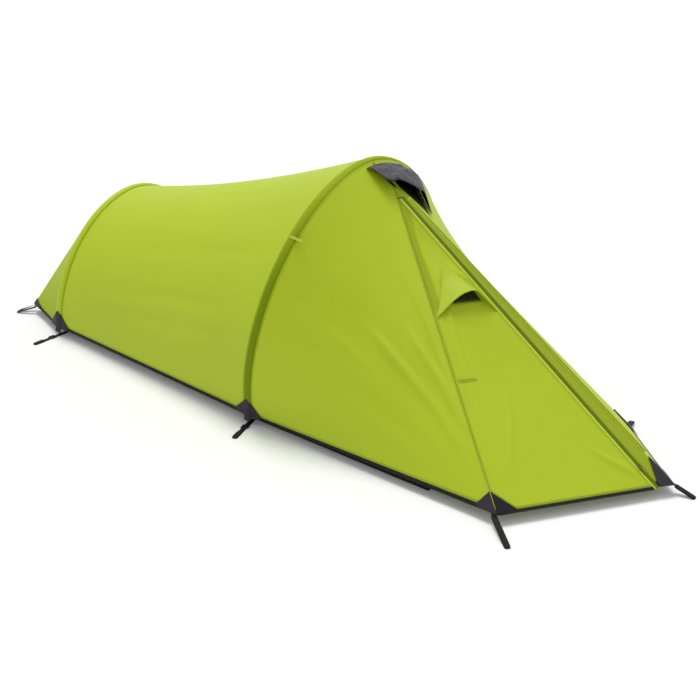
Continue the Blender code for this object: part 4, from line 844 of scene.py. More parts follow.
# creases that the photograph shows on the door
doorFolds = [
    [(0.863, -0.048, 0.407), (1.012, -0.032, 0.314), (1.166, -0.016, 0.218), (1.34, 0.009, 0.113)],
    [(1.19, -0.14, 0.14), (1.29, -0.102, 0.103), (1.4, -0.041, 0.053)],
    [(1.22, -0.13, 0.115), (1.321, -0.095, 0.085), (1.403, -0.057, 0.046)],
    [(0.422, -0.11, 0.675), (0.531, -0.129, 0.596), (0.619, -0.162, 0.524), (0.75, -0.24, 0.42)],
    [(0.55, -0.059, 0.61), (0.586, -0.06, 0.586), (0.617, -0.043, 0.572), (0.65, -0.037, 0.55)],
    [(0.70, -0.21, 0.46), (0.88, -0.33, 0.30), (1.06, -0.46, 0.13)],
    [(0.83, -0.14, 0.36), (0.98, -0.27, 0.22), (1.09, -0.42, 0.10)],
]


def zipLine(rise):
    # the middle of the zip; rise 0 is the hem, 1 the top of the door
    rise = np.asarray(rise, float)[..., None]
    side = unit(nearCorner - tipCorner)
    return mix(tipCorner, doorTop, rise) + side * (
        doorShape["zipFoot"] * (1.0 - rise) + doorShape["zipTop"] * rise)


doorNormal = facing(np.cross(nearCorner - tipCorner, doorTop - tipCorner), (1, -1, 1))
frontNormal = facing(np.cross(farCorner - tipCorner, doorTop - tipCorner), (1, 1, 1))
zipAlong = unit(zipLine(1.0) - zipLine(0.0))
zipAcross = facing(np.cross(doorNormal, zipAlong), (0, -1, 0))
zipEdge = zipShape["chainHalfWidth"] + hem["gap"] + zipShape["tapeWidth"]
zipHalf = zipEdge + hem["gap"]
zipLength = float(np.linalg.norm(zipLine(doorShape["head"]) - zipLine(0.0)))


def onZip(along, across, lift=0.0):
    # a point by its length up the zip, its place across it and its height above the cloth
    return (zipLine(0.0) + zipAlong * along[..., None] + zipAcross * across[..., None]
            + doorNormal * np.asarray(lift)[..., None])


def doorLowRise(over):
    # the cloth starts above the hem, and above the patch at the near corner
    reach = over * np.linalg.norm(tipCorner - nearCorner) / patchShape["side"]
    corner = patchShape["rise"] / np.linalg.norm(doorTop - nearCorner)
    return np.maximum(doorLow, mix(corner, doorLow, np.minimum(1.0, reach)))


def doorPoint(rise, over):
    # a point of the door: rise from the hem, over from the seam to the zip
    rise = np.asarray(rise, float)
    seam = mix(nearCorner, doorTop, rise[..., None])
    run = zipLine(rise) + zipAcross * zipHalf - seam
    start = hem["seamGap"] / np.linalg.norm(run, axis=-1, keepdims=True)
    return seam + run * (start + (1.0 - start) * np.asarray(over)[..., None])


def doorSag(rise, over):
    # drawn in most in the middle, nil at every edge and at the vent
    low, high = doorShape["ventLow"], doorShape["ventHigh"]
    share = np.where(rise < low, (low - rise) / (low - doorLow),
                     (rise - high) / (doorShape["head"] - high))
    share = np.clip(share, 0.0, 1.0)
    return doorShape["belly"] * np.sin(math.pi * share) * 4.0 * over * (1.0 - over)


def aboveDoor(rise, over, lift):
    return doorPoint(rise, over) + doorNormal * (lift - doorSag(rise, over))[..., None]


def besideSeam(rise, over):
    # depth of a valley beside the seam: a quarter sine down, then half a cosine up again
    width = np.linalg.norm(doorPoint(rise, 1.0) - doorPoint(rise, 0.0), axis=-1)
    reach = np.minimum(seamFold["reach"], seamFold["share"] * width)
    away = over * width / reach
    depth = np.where(away < 1.0, np.sin(math.pi / 2 * np.minimum(away, 1.0)), 0.5 + 0.5 * np.cos(
        math.pi * np.clip((away - 1.0) / seamFold["tail"], 0.0, 1.0)))
    ends = np.clip((rise - seamFold["low"]) / seamFold["lowFade"], 0.0, 1.0) * np.sqrt(
        np.clip((doorShape["head"] - rise) / seamFold["headFade"], 0.0, 1.0))
    return seamFold["slope"] * reach * depth * ends * np.clip((1.0 - over) / 0.5, 0.0, 1.0)


def vertexPlaces(piece):
    spots = np.zeros(len(piece.data.vertices) * 3, np.float32)
    piece.data.vertices.foreach_get("co", spots)
    return spots.reshape(-1, 3)


def markPaintedSeamShade(piece):
    # one on the strip beside the seam that is painted darker as painted shade, down to the vent
    spots = vertexPlaces(piece) - nearCorner
    seam = unit(doorTop - nearCorner)
    run = spots @ seam
    away = np.linalg.norm(spots - run[:, None] * seam, axis=1)
    rise = run / np.linalg.norm(doorTop - nearCorner)
    backed = np.clip((seamShadeStrip["width"] - away) / seamShadeStrip["edge"] + 0.5, 0.0, 1.0)
    backed *= np.clip((rise - seamShadeStrip["low"]) / seamShadeStrip["lowFade"], 0.0, 1.0)
    piece.data.attributes.new("backed", "FLOAT", "POINT").data.foreach_set(
        "value", backed.astype(np.float32))


def makeDoor():
    # Rows up to the vent, past it and on to the head; columns up to it, past it and on
    low, high = doorShape["ventLow"], doorShape["ventHigh"]
    rows, columns = doorShape["rows"], doorShape["columns"]
    stops = (0.0, doorShape["ventNear"], doorShape["ventFar"], 1.0)
    parts = [np.linspace(*ends) for ends in zip(stops[:-1], stops[1:], columns)]
    over = np.concatenate([parts[0], parts[1][1:], parts[2][1:]])[None, :]
    start = doorLowRise(over)
    below = start + (low - start) * shares(rows[0])[:, None]
    above = np.concatenate([np.linspace(low, high, rows[1])[1:],
                            np.linspace(high, doorShape["head"], rows[2])[1:]])[:, None]
    rise = np.concatenate([below, above + over * 0.0])
    over = rise * 0.0 + over
    grid = aboveDoor(rise, over, 0.0)
    hole = (rows[0] - 1, rows[0] + rows[1] - 2, columns[0] - 1, columns[0] + columns[1] - 2)
    # the folds are calmer beside the vent and nil at the edges
    calm = np.clip(np.abs(rise - (low + high) / 2) / 0.05, 0.35, 1.0) ** 1.5
    free = window(grid, 0.35) * calm
    height = creases(grid, doorFolds, **doorShape["crease"])
    height += streaks(pegAngle(grid, nearCorner), **doorShape["streaks"])
    height += puckers(grid, doorShape["puckers"])
    height = height * free - besideSeam(rise, over)
    flat = grid[hole[0]:hole[1] + 1, hole[2]:hole[3] + 1].copy()
    height[hole[0] - 1:hole[1] + 2, hole[2] - 1:hole[3] + 2] = 0.0
    piece = shell("door_cloth", grid + doorNormal * height[..., None], doorShape["thickness"],
                  hole=hole)
    markPaintedSeamShade(piece)
    handOver(piece, doorNylon, ["porch_door"], "door")
    piece = shell("door_vent_netting", shrunk(flat, vent["margin"]), vent["meshThickness"])
    handOver(piece, ventMesh, ["door_vent_mesh"], "door")

    over = shares(121)
    top = doorLowRise(over) - doorLow + hem["doorTapeHeight"] / riseScale
    grid = doorPoint(top * shares(7)[:, None], over)
    piece = shell("door_hem_binding", grid, hem["tapeThickness"])
    handOver(piece, hemBinding, ["door_hem_tape"], "door")
    along = np.linspace(0.0, zipLength, 240)[:, None]
    across = np.linspace(zipShape["chainHalfWidth"] + hem["gap"], zipEdge, 6)[None, :]
    piece = shell("door_side_zip_tape", onZip(along, across), zipShape["tapeThickness"])
    handOver(piece, paintedHighlightNylon, ["door_zip_tape"], "door")
    # the coil: a ridge down the middle of the chain, cut into teeth by a sine of the length
    along = np.linspace(0.0, zipLength, 1700)[:, None]
    across = np.linspace(-zipEdge, zipShape["chainHalfWidth"], 16)[None, :]
    ridge = np.clip(1.0 - (across / zipShape["chainHalfWidth"]) ** 2, 0.0, 1.0)
    teeth = 0.55 + 0.45 * np.sin(2 * math.pi * along / zipShape["coilPitch"])
    grid = onZip(along, across, ridge * teeth * zipShape["coilHeight"])
    piece = shell("zip_coil", grid, zipShape["tapeThickness"])
    handOver(piece, zipCoil, ["zip_chain"], sheetHeld=None)


front = dict(thickness=0.0006, stripColumns=6, columns=49, overDoor=0.0011, stripReach=0.003,
             streaks=dict(seed=51, lowest=2.0, highest=9.0, height=0.0012),
             crease=dict(width=0.012, height=0.0035), folds=[
    [(1.302, 0.023, 0.143), (1.386, -0.013, 0.074)],
    [(0.52, 0.03, 0.60), (0.80, 0.10, 0.38), (1.05, 0.21, 0.13)],
    [(0.45, 0.06, 0.63), (0.68, 0.13, 0.42), (1.0, 0.24, 0.12)],
    [(1.10, 0.08, 0.22), (1.25, 0.05, 0.14), (1.36, 0.03, 0.08)],
])


def makeFront():
    # Flat from the zip over the ridge to the far seam, and over the head of the door
    head = doorShape["head"]
    rises = np.concatenate([np.linspace(clothLow, head, 97),
                            np.linspace(head + front["overDoor"], porch["panelTop"], 6)])
    ridge, seam, nearSeam = (mix(corner, doorTop, rises[:, None])
                             for corner in (tipCorner, farCorner, nearCorner))
    start = np.where(rises[:, None] > head, beforeSeam(ridge, nearSeam),
                     zipLine(rises) - zipAcross * zipHalf)
    strip = shares(front["stripColumns"])
    over = shares(front["columns"])[1:]
    onDoor = mix(start[:, None], ridge[:, None], strip[None, :, None])
    onFront = mix(ridge[:, None], beforeSeam(ridge, seam)[:, None], over[None, :, None])
    grid = np.concatenate([onDoor, onFront], axis=1)
    side = np.concatenate([strip * 0.0, np.sin(math.pi * over) ** 0.6])
    height = creases(grid, front["folds"], **front["crease"])
    height += streaks(shares(grid.shape[1])[None, :], **front["streaks"])
    height = height * window(grid, 0.5) * side
    piece = shell("porch_front_cloth", grid + frontNormal * height[..., None],
                  front["thickness"])
    # the strip on the door's side of the ridge takes the darker band colour: painted shade
    values = piece.data.attributes["hemDistance"].data
    mark = np.zeros(len(values), np.float32)
    values.foreach_get("value", mark)
    away = facing(np.cross(unit(doorNormal + frontNormal), zipAlong), (0, 1, 0))
    mark[(vertexPlaces(piece) - tipCorner) @ away < front["stripReach"]] = 0.0
    values.foreach_set("value", mark)
    handOver(piece, frontNylon, ["front_porch_panel"])


stormFlap = dict(width=0.016, lean=80.0, start=0.10, end=0.941, seat=0.0013,
                 thickness=0.0010,
                 wave=dict(seed=61, lowest=12.0, highest=40.0, height=0.0006))


def makeStormFlap():
    # A strip that stands on the ridge and lies back over the front, its edge wavy
    stand = unit(doorNormal + frontNormal)
    lean = math.radians(stormFlap["lean"])
    away = facing(np.cross(stand, zipAlong), (0, 1, 0))
    tall = stand * math.cos(lean) + away * math.sin(lean)
    share = np.linspace(stormFlap["start"], stormFlap["end"], 160)
    foot = mix(tipCorner, doorTop, share[:, None]) + stand * stormFlap["seat"]
    width = np.linspace(0.0, stormFlap["width"], 9)[None, :, None]
    wave = streaks(share, **stormFlap["wave"])[:, None, None]
    lift = stand * np.abs(wave) * (width / stormFlap["width"]) ** 2
    piece = shell("ridge_storm_flap", foot[:, None] + tall * width + lift,
                  stormFlap["thickness"])
    handOver(piece, flapNylon, ["storm_flap"])


# Hem binding all round

def polePass(hoop, z, side):
    # the hem swells outwards where it passes the foot of a pole, from its rear to its front
    clear = pole["radius"] + pole["outset"] + hem["gap"] + hem["tapeThickness"] / 2
    z = min(z, hem["height"] + hem["tapeHeight"] - hem["ease"])
    out = np.array([0.0, side, 0.0])
    return [hemAt(hoop, z, axial, side) + out * clear * share
            for axial, share in hem["swell"]]


def hemLine(z):
    # the hem at one height, from the near corner of the porch round the back to the zip
    rise = (z - hem["height"]) / riseScale
    near, tip, far = (mix(corner, doorTop, rise) for corner in (nearCorner, tipCorner, farCorner))
    foot = hemAt(frontHoop, z, panelEdge, -1.0)
    rear = rearHem(z)
    return np.array([beforeSeam(foot, near), foot, *polePass(frontHoop, z, -1.0)[::-1],
                     hemAt(frontHoop, z, -panelEdge, -1.0), hemAt(rearHoop, z, panelEdge, -1.0),
                     *polePass(rearHoop, z, -1.0)[::-1], rear[0], rear[cornerSteps],
                     rear[rearSteps - cornerSteps], rear[-1], *polePass(rearHoop, z, 1.0),
                     hemAt(rearHoop, z, panelEdge, 1.0), hemAt(frontHoop, z, -panelEdge, 1.0),
                     *polePass(frontHoop, z, 1.0), hemAt(frontHoop, z, panelEdge, 1.0), far, tip,
                     zipLine(rise) - zipAcross * zipHalf])


def divided(path, counts):
    # each straight stretch of the path in its number of even steps
    parts = [lineOf(a, b, n + 1)[:-1] for a, b, n in zip(path[:-1], path[1:], counts)]
    return np.concatenate(parts + [path[-1:]])


def makeHem():
    # Between the lower and the upper line of the binding, with a slight wave outwards
    low, high = hemLine(hem["height"]), hemLine(hem["height"] + hem["tapeHeight"])
    lengths = np.linalg.norm(np.diff(low, axis=0), axis=1)
    counts = np.maximum(1, np.ceil(lengths / hem["step"])).astype(int)
    lowLine = divided(low, counts)
    share = shares(6)[:, None]
    grid = mix(lowLine, divided(high, counts), share[..., None])
    run = runOf(lowLine)
    calm = np.clip(np.abs(run[:, None] - runOf(low)).min(axis=1) / 0.05, 0.0, 1.0)
    wave = streaks(run / run[-1], **hem["wave"]) * calm * (1 - share)
    piece = shell("hem_binding", raised(grid, wave), hem["tapeThickness"])
    handOver(piece, hemBinding, ["hem_tape"])


# Hood over the roof vent, and the awning over the door vent

hood = dict(rim=[(0.0725, -0.050, -0.0125), (0.1435, -0.050, -0.0410), (0.1490, 0.000, -0.0415),
                 (0.1590, 0.070, -0.0825), (0.1625, 0.125, -0.1165)],
            lift=0.0022, crown=0.003, farCrown=0.034, nearStep=17.2 * 4, farStep=22.6 * 4,
            farReach=0.245, back=0.018, columns=13, rows=7, thickness=0.0008, crumple=0.012)


def roofPoint(step, forward, lift):
    # a point above the cloth in front of the hoop, by hoop station
    side = -1.0 if step <= frontSteps / 2 else 1.0
    edge, seam = sideLines(side)
    k = step if side < 0 else frontSteps - step
    low = int(min(k, len(edge) - 2))
    a = mix(edge[low], edge[low + 1], k - low)
    b = mix(seam[low], seam[low + 1], k - low)
    outward = facing(np.cross(b - a, edge[low + 1] - edge[low]), up)
    return mix(a, b, forward / np.linalg.norm(b - a)) + outward * lift


def makeHood():
    # Straight lines from the sewn edge to the rim over a crown, then crushed into facets:
    # seeded heights at hand-wide points, joined by straight lines
    rows, columns = hood["rows"], hood["columns"]
    steps = np.linspace(hood["nearStep"], hood["farStep"], columns)
    back = np.array([roofPoint(s, hood["back"], hood["lift"]) for s in steps])
    far, _, outward = sideGrid(1.0, 57)
    row = frontSteps - hood["farStep"]
    line = mix(far[int(row)], far[int(row) + 1], row % 1.0)
    reach = np.linspace(hood["back"], hood["farReach"], rows)
    end = atRuns(reach, runOf(line), line) + outward * hood["lift"]
    rim = evenly(np.concatenate([frontTop + np.array(hood["rim"]), end[-1:]]), columns)
    share = shares(rows)[:, None, None]
    crown = (hood["crown"] + hood["farCrown"] * shares(columns) ** 2)[:, None]
    grid = mix(back, rim, share) + up * crown * np.sin(math.pi * share)
    grid[:, -1] = end
    rng = np.random.default_rng(8)
    crush = rng.uniform(-0.4, 1.0, grid.shape[:2]) * hood["crumple"] * window(grid, 0.5)
    grid = finer(grid + up * crush[..., None], 8, 8)
    blunt(grid)
    blunt(grid.swapaxes(0, 1))
    piece = shell("roof_vent_hood", grid, hood["thickness"])
    handOver(piece, hoodNylon, ["hood"])


awning = dict(near=0.015, far=0.985, low=0.562, rise=0.160, rimRise=0.052, crest=0.75,
              stand=0.042, seat=0.0014, thickness=0.0008,
              ripple=dict(seed=81, lowest=4.0, highest=16.0, height=0.0012))


def makeAwning():
    # An arch on the door from its sewn line to its rim; the rim stands off the door
    share = shares(33)[:, None]
    across = shares(97)[None, :]
    lean = np.where(across > awning["crest"], (1.0 - across) / (1.0 - awning["crest"]),
                    across / awning["crest"])
    arch = np.sin(math.pi / 2 * lean)
    rise = awning["low"] + arch * mix(awning["rise"], awning["rimRise"], share)
    over = mix(awning["near"], awning["far"], across) + share * 0.0
    lift = awning["seat"] + awning["stand"] * arch * (1.0 - np.cos(math.pi / 2 * share))
    ripple = streaks(across, **awning["ripple"]) * arch * share
    grid = aboveDoor(rise, over, lift + np.maximum(ripple, -0.001))
    piece = shell("door_vent_awning", grid, awning["thickness"])
    handOver(piece, awningNylon, ["awning"], "door")


# Corner patches

def mitred(grid, distance, hint):
    # Moves the grid off by the distance: at a bend the step is the sum of both strips'
    # normals over one plus their dot product
    across = np.diff(grid, axis=1).mean(axis=0)
    tall = grid[-1] - grid[0]
    normals = unit(np.cross(across, (tall[:-1] + tall[1:]) / 2))
    if np.dot(normals.mean(axis=0), hint) < 0:
        normals = -normals
    first = np.concatenate([normals[:1], normals])
    last = np.concatenate([normals, normals[-1:]])
    step = (first + last) / (1.0 + (first * last).sum(axis=1, keepdims=True))
    return grid + step * distance


def makeCornerPatch(name, node, low, high, hint, lift=patchShape["lift"]):
    share = shares(3)[:, None, None]
    grid = mitred(mix(low, high, share), lift, hint)
    grid = finer(grid, 12, 10)
    height = streaks(shares(grid.shape[1])[None, :], **patchShape["wave"])
    piece = shell(name, raised(grid, height * window(grid, 1.0)), patchShape["thickness"])
    handOver(piece, patchCloth, [node])


def wedge(corner, along, slope, rise, count, side, start):
    # hem points beside a corner, and the slanted top edge of its patch above them
    stops = np.linspace(start, side, count)[:, None]
    low = corner + unit(along) * stops
    return low, low + unit(slope) * mix(rise, patchShape["endRise"], stops / side)


def makeCornerPatches():
    lift = up * patchShape["foot"]
    tipEdge = doorShape["zipFoot"] - zipHalf - patchShape["zipGap"]
    nearFoot, farFoot = (hemAt(frontHoop, hem["height"], panelEdge, side) for side in (-1.0, 1.0))
    # each patch, and along the hem on each side of its corner: the end, the number of
    # points, the length of the patch and where it starts
    for label, corner, rise, hint, sides in (
            ("near_porch", nearCorner, patchShape["rise"], (0, -1, 0),
             [(nearFoot, 4, patchShape["side"], patchShape["cornerStart"])]),
            ("tip", tipCorner, patchShape["tipRise"], (1, 0, 1),
             [(nearCorner, 3, tipEdge, 0.0), (farCorner, 4, patchShape["side"], 0.0)]),
            ("far_porch", farCorner, patchShape["rise"], (0, 1, 0),
             [(tipCorner, 3, patchShape["side"], 0.0), (farFoot, 3, patchShape["side"], 0.0)])):
        wedges = [wedge(corner + lift, end - corner, doorTop - corner, rise, *how)
                  for end, *how in sides]
        low, high = wedges[0] if len(wedges) == 1 else (
            np.concatenate([first[::-1], second[1:]]) for first, second in zip(*wedges))
        makeCornerPatch(f"{label.split('_')[0]}_peg_patch", f"{label}_patch", low, high, hint)

    # the rear corners: two stations each side of the corner, in the solid's coarse steps
    line = rearHem(hem["height"] + patchShape["foot"])[::4]
    top = (rearStations - rearAxis * panelEdge)[::4]
    rises = np.array([patchShape["endRise"], patchShape["rearSideRise"], patchShape["rearRise"],
                      patchShape["endRise"]])[:, None]
    for label, side, picked in (("near", -1, [6, 7, 8, 9]), ("far", 1, [22, 21, 20, 19])):
        low = line[picked]
        high = low + unit(top[picked] - low) * rises
        makeCornerPatch(f"rear_{label}_peg_patch", f"rear_{label}_patch", low, high,
                        (-1, side, 0), patchShape["lift"] + patchShape["rearEase"])


footPatch = dict(side=0.064, rise=0.074, lift=0.0078, shoulder=0.011, step=0.003,
                 tongueDrop=0.018, tongueOut=0.006)


def makeFootPatch(name, node, hoop, side, rearTarget, frontTarget):
    # A patch that wraps the foot of a sleeve, the cloth on both sides, and a tongue below
    edge = panelEdge + footPatch["step"]
    wide, low = footPatch["side"], patchShape["lift"]
    places = [(-wide, low), (-edge, low), (-footPatch["shoulder"], footPatch["lift"]),
              (0.0, footPatch["lift"]), (footPatch["shoulder"], footPatch["lift"]), (edge, low),
              (wide, low)]
    share = shares(4)
    columns = []
    for axial, lift in places:
        top = mix(footPatch["rise"], patchShape["endRise"], min(1.0, abs(axial) / wide))
        z = hem["height"] + patchShape["foot"] + top * share
        base = hemAt(hoop, z, math.copysign(min(abs(axial), panelEdge), axial), side)
        target = (rearTarget if axial < 0 else frontTarget)(z)
        base = base + unit(target - base) * max(0.0, abs(axial) - panelEdge)
        columns.append(base + np.array([0.0, side * lift, 0.0]))
    grid = np.stack(columns, axis=1)
    drop = np.array([0.15, 0.15, 1.0, 1.0, 1.0, 0.15, 0.15])[:, None]
    tongue = grid[0] + drop * np.array([0.0, side * footPatch["tongueOut"],
                                        -footPatch["tongueDrop"]])
    grid = finer(np.concatenate([tongue[None], grid]), 8, 8)
    blunt(grid.swapaxes(0, 1))
    piece = shell(name, grid, patchShape["thickness"])
    handOver(piece, patchCloth, [node])


def makeFootPatches():
    def porchTarget(corner):
        return lambda z: mix(corner, doorTop, ((z - hem["height"]) / riseScale)[:, None])

    def hoopTarget(hoop, axial, side):
        return lambda z: hemAt(hoop, z, axial, side)

    def rearTarget(side):
        index = cornerSteps if side < 0 else rearSteps - cornerSteps
        return lambda z: np.stack([rearHem(h)[index] for h in z])

    for label, side, corner in (("near", -1.0, nearCorner), ("far", 1.0, farCorner)):
        makeFootPatch(f"front_{label}_pole_patch", f"front_{label}_foot_patch", frontHoop, side,
                      hoopTarget(rearHoop, panelEdge, side), porchTarget(corner))
        makeFootPatch(f"rear_{label}_pole_patch", f"rear_{label}_foot_patch", rearHoop, side,
                      rearTarget(side), hoopTarget(frontHoop, -panelEdge, side))


# Webbing

webbing = dict(thickness=0.0012, loopWidth=0.020, strapWidth=0.020, veeWidth=0.016,
               fold=0.0035, spacing=0.0016)
# from the cloth to the middle of a tape that is sewn behind a patch
underPatch = (patchShape["lift"] - patchShape["thickness"] / 2 - hem["gap"]
              - webbing["thickness"] / 2)


def strapPiece(name, node, points, acrosses, width, bend, tip=None, material=blackWebbing):
    # A flat tape: the path in even short steps, its corners rounded by averaging; the
    # across directions turn with it, and it narrows as a half circle towards its tip
    points = np.asarray(points, float)
    run = runOf(points)
    count = max(12, int(run[-1] / webbing["spacing"]))
    wanted = np.linspace(0.0, run[-1], count)
    path = atRuns(wanted, run, points)
    square = unit(atRuns(wanted, run, unit(acrosses)))
    for turn in range(bend):
        blunt(path)
        blunt(square)
        square[1:-1] = unit(square[1:-1])
    side = np.linspace(-0.5, 0.5, 9)[None, :, None]
    narrow = np.ones((count, 1, 1))
    if tip is not None:
        away = np.linalg.norm(path - points[tip], axis=1)[:, None, None] / (width / 2)
        narrow = np.sqrt(np.clip(1.0 - (1.0 - np.minimum(away, 1.0)) ** 2, 0.15, 1.0))
    grid = path[:, None] + square[:, None] * side * width * narrow
    piece = shell(name, grid, webbing["thickness"])
    handOver(piece, material, [node], sheetHeld=None)


# the places of the stakes on the ground, seen from above
stakes = dict(near=(1.241, -0.640), tip=(1.521, 0.021), far=(1.064, 0.392),
              rearNear=(-1.506, -0.381), rearFar=(-1.506, 0.381))
stakeLoop = dict(inset=0.006, sewn=0.018, belowHem=0.002, kneeOut=0.012, kneeDrop=0.010,
                 tail=0.004)


def makeStakeLoop(name, node, corner, along, slope, outward, end):
    # A folded loop: sewn under the patch, down to the ground and back up over itself
    along, slope = unit(along), unit(slope)
    outward = facing(np.cross(along, slope), outward)
    start = corner + along * (webbing["loopWidth"] / 2 + stakeLoop["inset"])
    end = np.array([end[0], end[1], webbing["thickness"] / 2])
    heading = unit((end - start) * np.array([1.0, 1.0, 0.0]))
    square = facing(np.cross(heading, up), along)
    sewn = start + slope * stakeLoop["sewn"] + outward * underPatch
    hemEdge = start - slope * stakeLoop["belowHem"] + outward * underPatch
    knee = hemEdge + heading * stakeLoop["kneeOut"] - up * stakeLoop["kneeDrop"]
    back = unit(knee - end)
    over = facing(np.cross(square, back), up)
    fold = webbing["fold"]
    turn = end + heading * fold / 2 + over * fold / 2
    points = [sewn, hemEdge, knee, end, turn, end + over * fold, knee + over * fold,
              knee + over * fold + back * stakeLoop["tail"]]
    strapPiece(name, node, points, [along, along] + [square] * 6, webbing["loopWidth"], 1, 4)


vee = dict(drop=0.010, sewn=0.011, spread=0.020, turn=0.0015, ease=0.3)


def makeVeeLoop(name, node, side, end):
    # Two legs from both sides of a rear corner, meeting in a half turn at the stake
    line = rearHem(hem["height"])[::4]
    upper = rearHem(hem["height"] + vee["sewn"])[::4]
    top = (rearStations - rearAxis * panelEdge)[::4]
    index = 8 if side < 0 else 20
    inward = 1 if side < 0 else -1
    corner = line[index]
    end = np.array([end[0], end[1], webbing["thickness"] / 2])
    ahead = unit(end - corner)
    legs = []
    for beside in (index - inward, index + inward):
        share = vee["spread"] / np.linalg.norm(line[beside] - corner)
        foot = mix(corner, line[beside], share)
        steep = mix(upper[index], upper[beside], share) - foot
        flat = mix(unit(top[index] - corner), unit(top[beside] - line[beside]), share)
        slope = unit(mix(unit(steep), flat, vee["ease"]))
        along = unit(line[beside] - corner)
        out = facing(np.cross(along, slope), ahead * np.array([1.0, 1.0, 0.0])) * underPatch
        legs.append((along, foot - slope * vee["drop"] + out, foot + slope * vee["sewn"] + out))
    (toFoot, footLow, footHigh), (toBack, backLow, backHigh) = legs
    turn = webbing["veeWidth"] / 2 + vee["turn"]
    centre = end - ahead * (turn + webbing["veeWidth"] / 2)
    plane = facing(np.cross(footLow - end, backLow - end), up)
    square = facing(np.cross(plane, ahead), footLow - backLow)
    a = np.radians(np.linspace(0.0, 180.0, 13))[:, None]
    rays = square * np.cos(a) + ahead * np.sin(a)
    points = np.concatenate([[footHigh, footLow], centre + rays * turn, [backLow, backHigh]])
    acrosses = np.concatenate([[toFoot, toFoot], rays, [toBack, toBack]])
    strapPiece(name, node, points, acrosses, webbing["veeWidth"], 1)


footStrap = dict(length=0.140, tail=0.050, bar=0.0020, buckle=0.0025, firstBar=0.030, slot=0.010,
                 outerSlot=0.006, bend=0.0015, tightBend=0.0008, frontLean=0.37, rearLean=0.05)
groundsheet = dict(wall=0.070, frontX=0.825, frontNearY=-0.505, frontFarY=0.262, inset=0.045,
                   rearReach=0.232, rearHalfWidth=0.285, rimFront=0.035, rimSide=0.040,
                   farSetback=0.020, thickness=0.0010,
                   slack=dict(lowest=2.0, highest=6.0, height=0.0012))


def floorChains():
    # near and far edges of the floor, rear to front, at the ground and at the rim
    rearX = rearHoop["footX"] - groundsheet["rearReach"]
    rearFoot = hoopCurve(rearHoop, hoopAngle(rearHoop, clothLowZ))
    frontFoot = hoopCurve(frontHoop, hoopAngle(frontHoop, clothLowZ))
    near = np.array([[rearX, -groundsheet["rearHalfWidth"], 0.0],
                     [rearFoot[0], rearFoot[1] + groundsheet["inset"], 0.0],
                     [frontFoot[0], frontFoot[1] + groundsheet["inset"], 0.0],
                     [groundsheet["frontX"], groundsheet["frontNearY"], 0.0]])
    far = near * np.array([1.0, -1.0, 1.0])
    far[3] = (groundsheet["frontX"] - groundsheet["farSetback"], groundsheet["frontFarY"], 0.0)
    inward = np.zeros((4, 3))
    inward[:, 0] = (groundsheet["rimFront"], 0.0, 0.0, -groundsheet["rimFront"])
    inward[:, 1] = groundsheet["rimSide"]
    return near, far, near + inward, far + inward * np.array([1.0, -1.0, 1.0])


def floorReach(origin, heading, side):
    # how far inwards a foot strap runs to end beside the edge of the floor
    edge = floorChains()[0 if side < 0 else 1][1:3]
    square = facing(np.cross(unit(edge[1] - edge[0]), up), (0.0, side, 0.0))
    share = float(np.dot(square, heading))
    away = float(np.dot(origin - edge[0], square))
    skew = webbing["strapWidth"] / 2 * math.sqrt(1.0 - share ** 2)
    return (away - skew - hem["gap"] - groundsheet["thickness"]) / share


def makeFootStrap(name, node, hoop, side, lean):
    # From the floor under the pole tip, through the ladder buckle, folded at the stake
    foot = hoopCurve(hoop, hoopAngle(hoop, webbing["thickness"]))
    origin = np.array([foot[0], foot[1] * -side, 0.0])
    heading = unit((lean, side, 0.0))
    start = floorReach(origin, heading, side)
    across = np.cross(heading, up)
    first = footStrap["firstBar"]
    second = first + 2 * footStrap["bar"] + footStrap["slot"]
    third = second + 2 * footStrap["bar"] + footStrap["outerSlot"]
    low = webbing["thickness"] / 2
    high = webbing["thickness"] * 1.5 + 0.0006 + footStrap["buckle"]
    bend, tight = footStrap["bar"] + footStrap["bend"], footStrap["bar"] + footStrap["tightBend"]
    end, fold = footStrap["length"], webbing["fold"]
    stops = np.array([(-start, low), (first + bend, low), (second - bend, high),
                      (second + tight, high), (third - tight, low), (end, low),
                      (end + fold / 2, low + fold / 2), (end, low + fold),
                      (end - footStrap["tail"], low + fold)])
    points = origin + heading * stops[:, :1] + up * stops[:, 1:]
    strapPiece(name, node, points, [across] * len(points), webbing["strapWidth"], 0, 6)


def makeWebbing():
    foot = hemAt(frontHoop, hem["height"], panelEdge, -1.0)
    makeStakeLoop("near_peg_loop", "near_porch_loop", nearCorner, foot - nearCorner,
                  doorTop - nearCorner, (0.0, -1.0, 0.0), stakes["near"])
    makeStakeLoop("tip_peg_loop", "tip_loop", tipCorner, farCorner - tipCorner,
                  doorTop - tipCorner, frontNormal, stakes["tip"])
    foot = hemAt(frontHoop, hem["height"], panelEdge, 1.0)
    makeStakeLoop("far_peg_loop", "far_porch_loop", farCorner, foot - farCorner,
                  doorTop - farCorner, (0.0, 1.0, 0.0), stakes["far"])
    makeVeeLoop("rear_near_vee_loop", "rear_near_loop", -1.0, stakes["rearNear"])
    makeVeeLoop("rear_far_vee_loop", "rear_far_loop", 1.0, stakes["rearFar"])
    for end, hoop, lean in (("front", frontHoop, footStrap["frontLean"]),
                            ("rear", rearHoop, footStrap["rearLean"])):
        for label, side in (("near", -1.0), ("far", 1.0)):
            makeFootStrap(f"{end}_{label}_pole_strap", f"{end}_{label}_foot_strap", hoop, side,
                          lean)


smallLoops = dict(step=11 * 4, reach=0.050, sewn=(-0.010, 0.012), dip=0.002, tieRise=0.375,
                  tieRadius=0.0013, tieHalf=0.0031,
                  tieLegs=[(0.008, 1.0), (0.035, 1.2), (0.062, 1.0), (0.072, 0.6), (0.076, 0.0)])


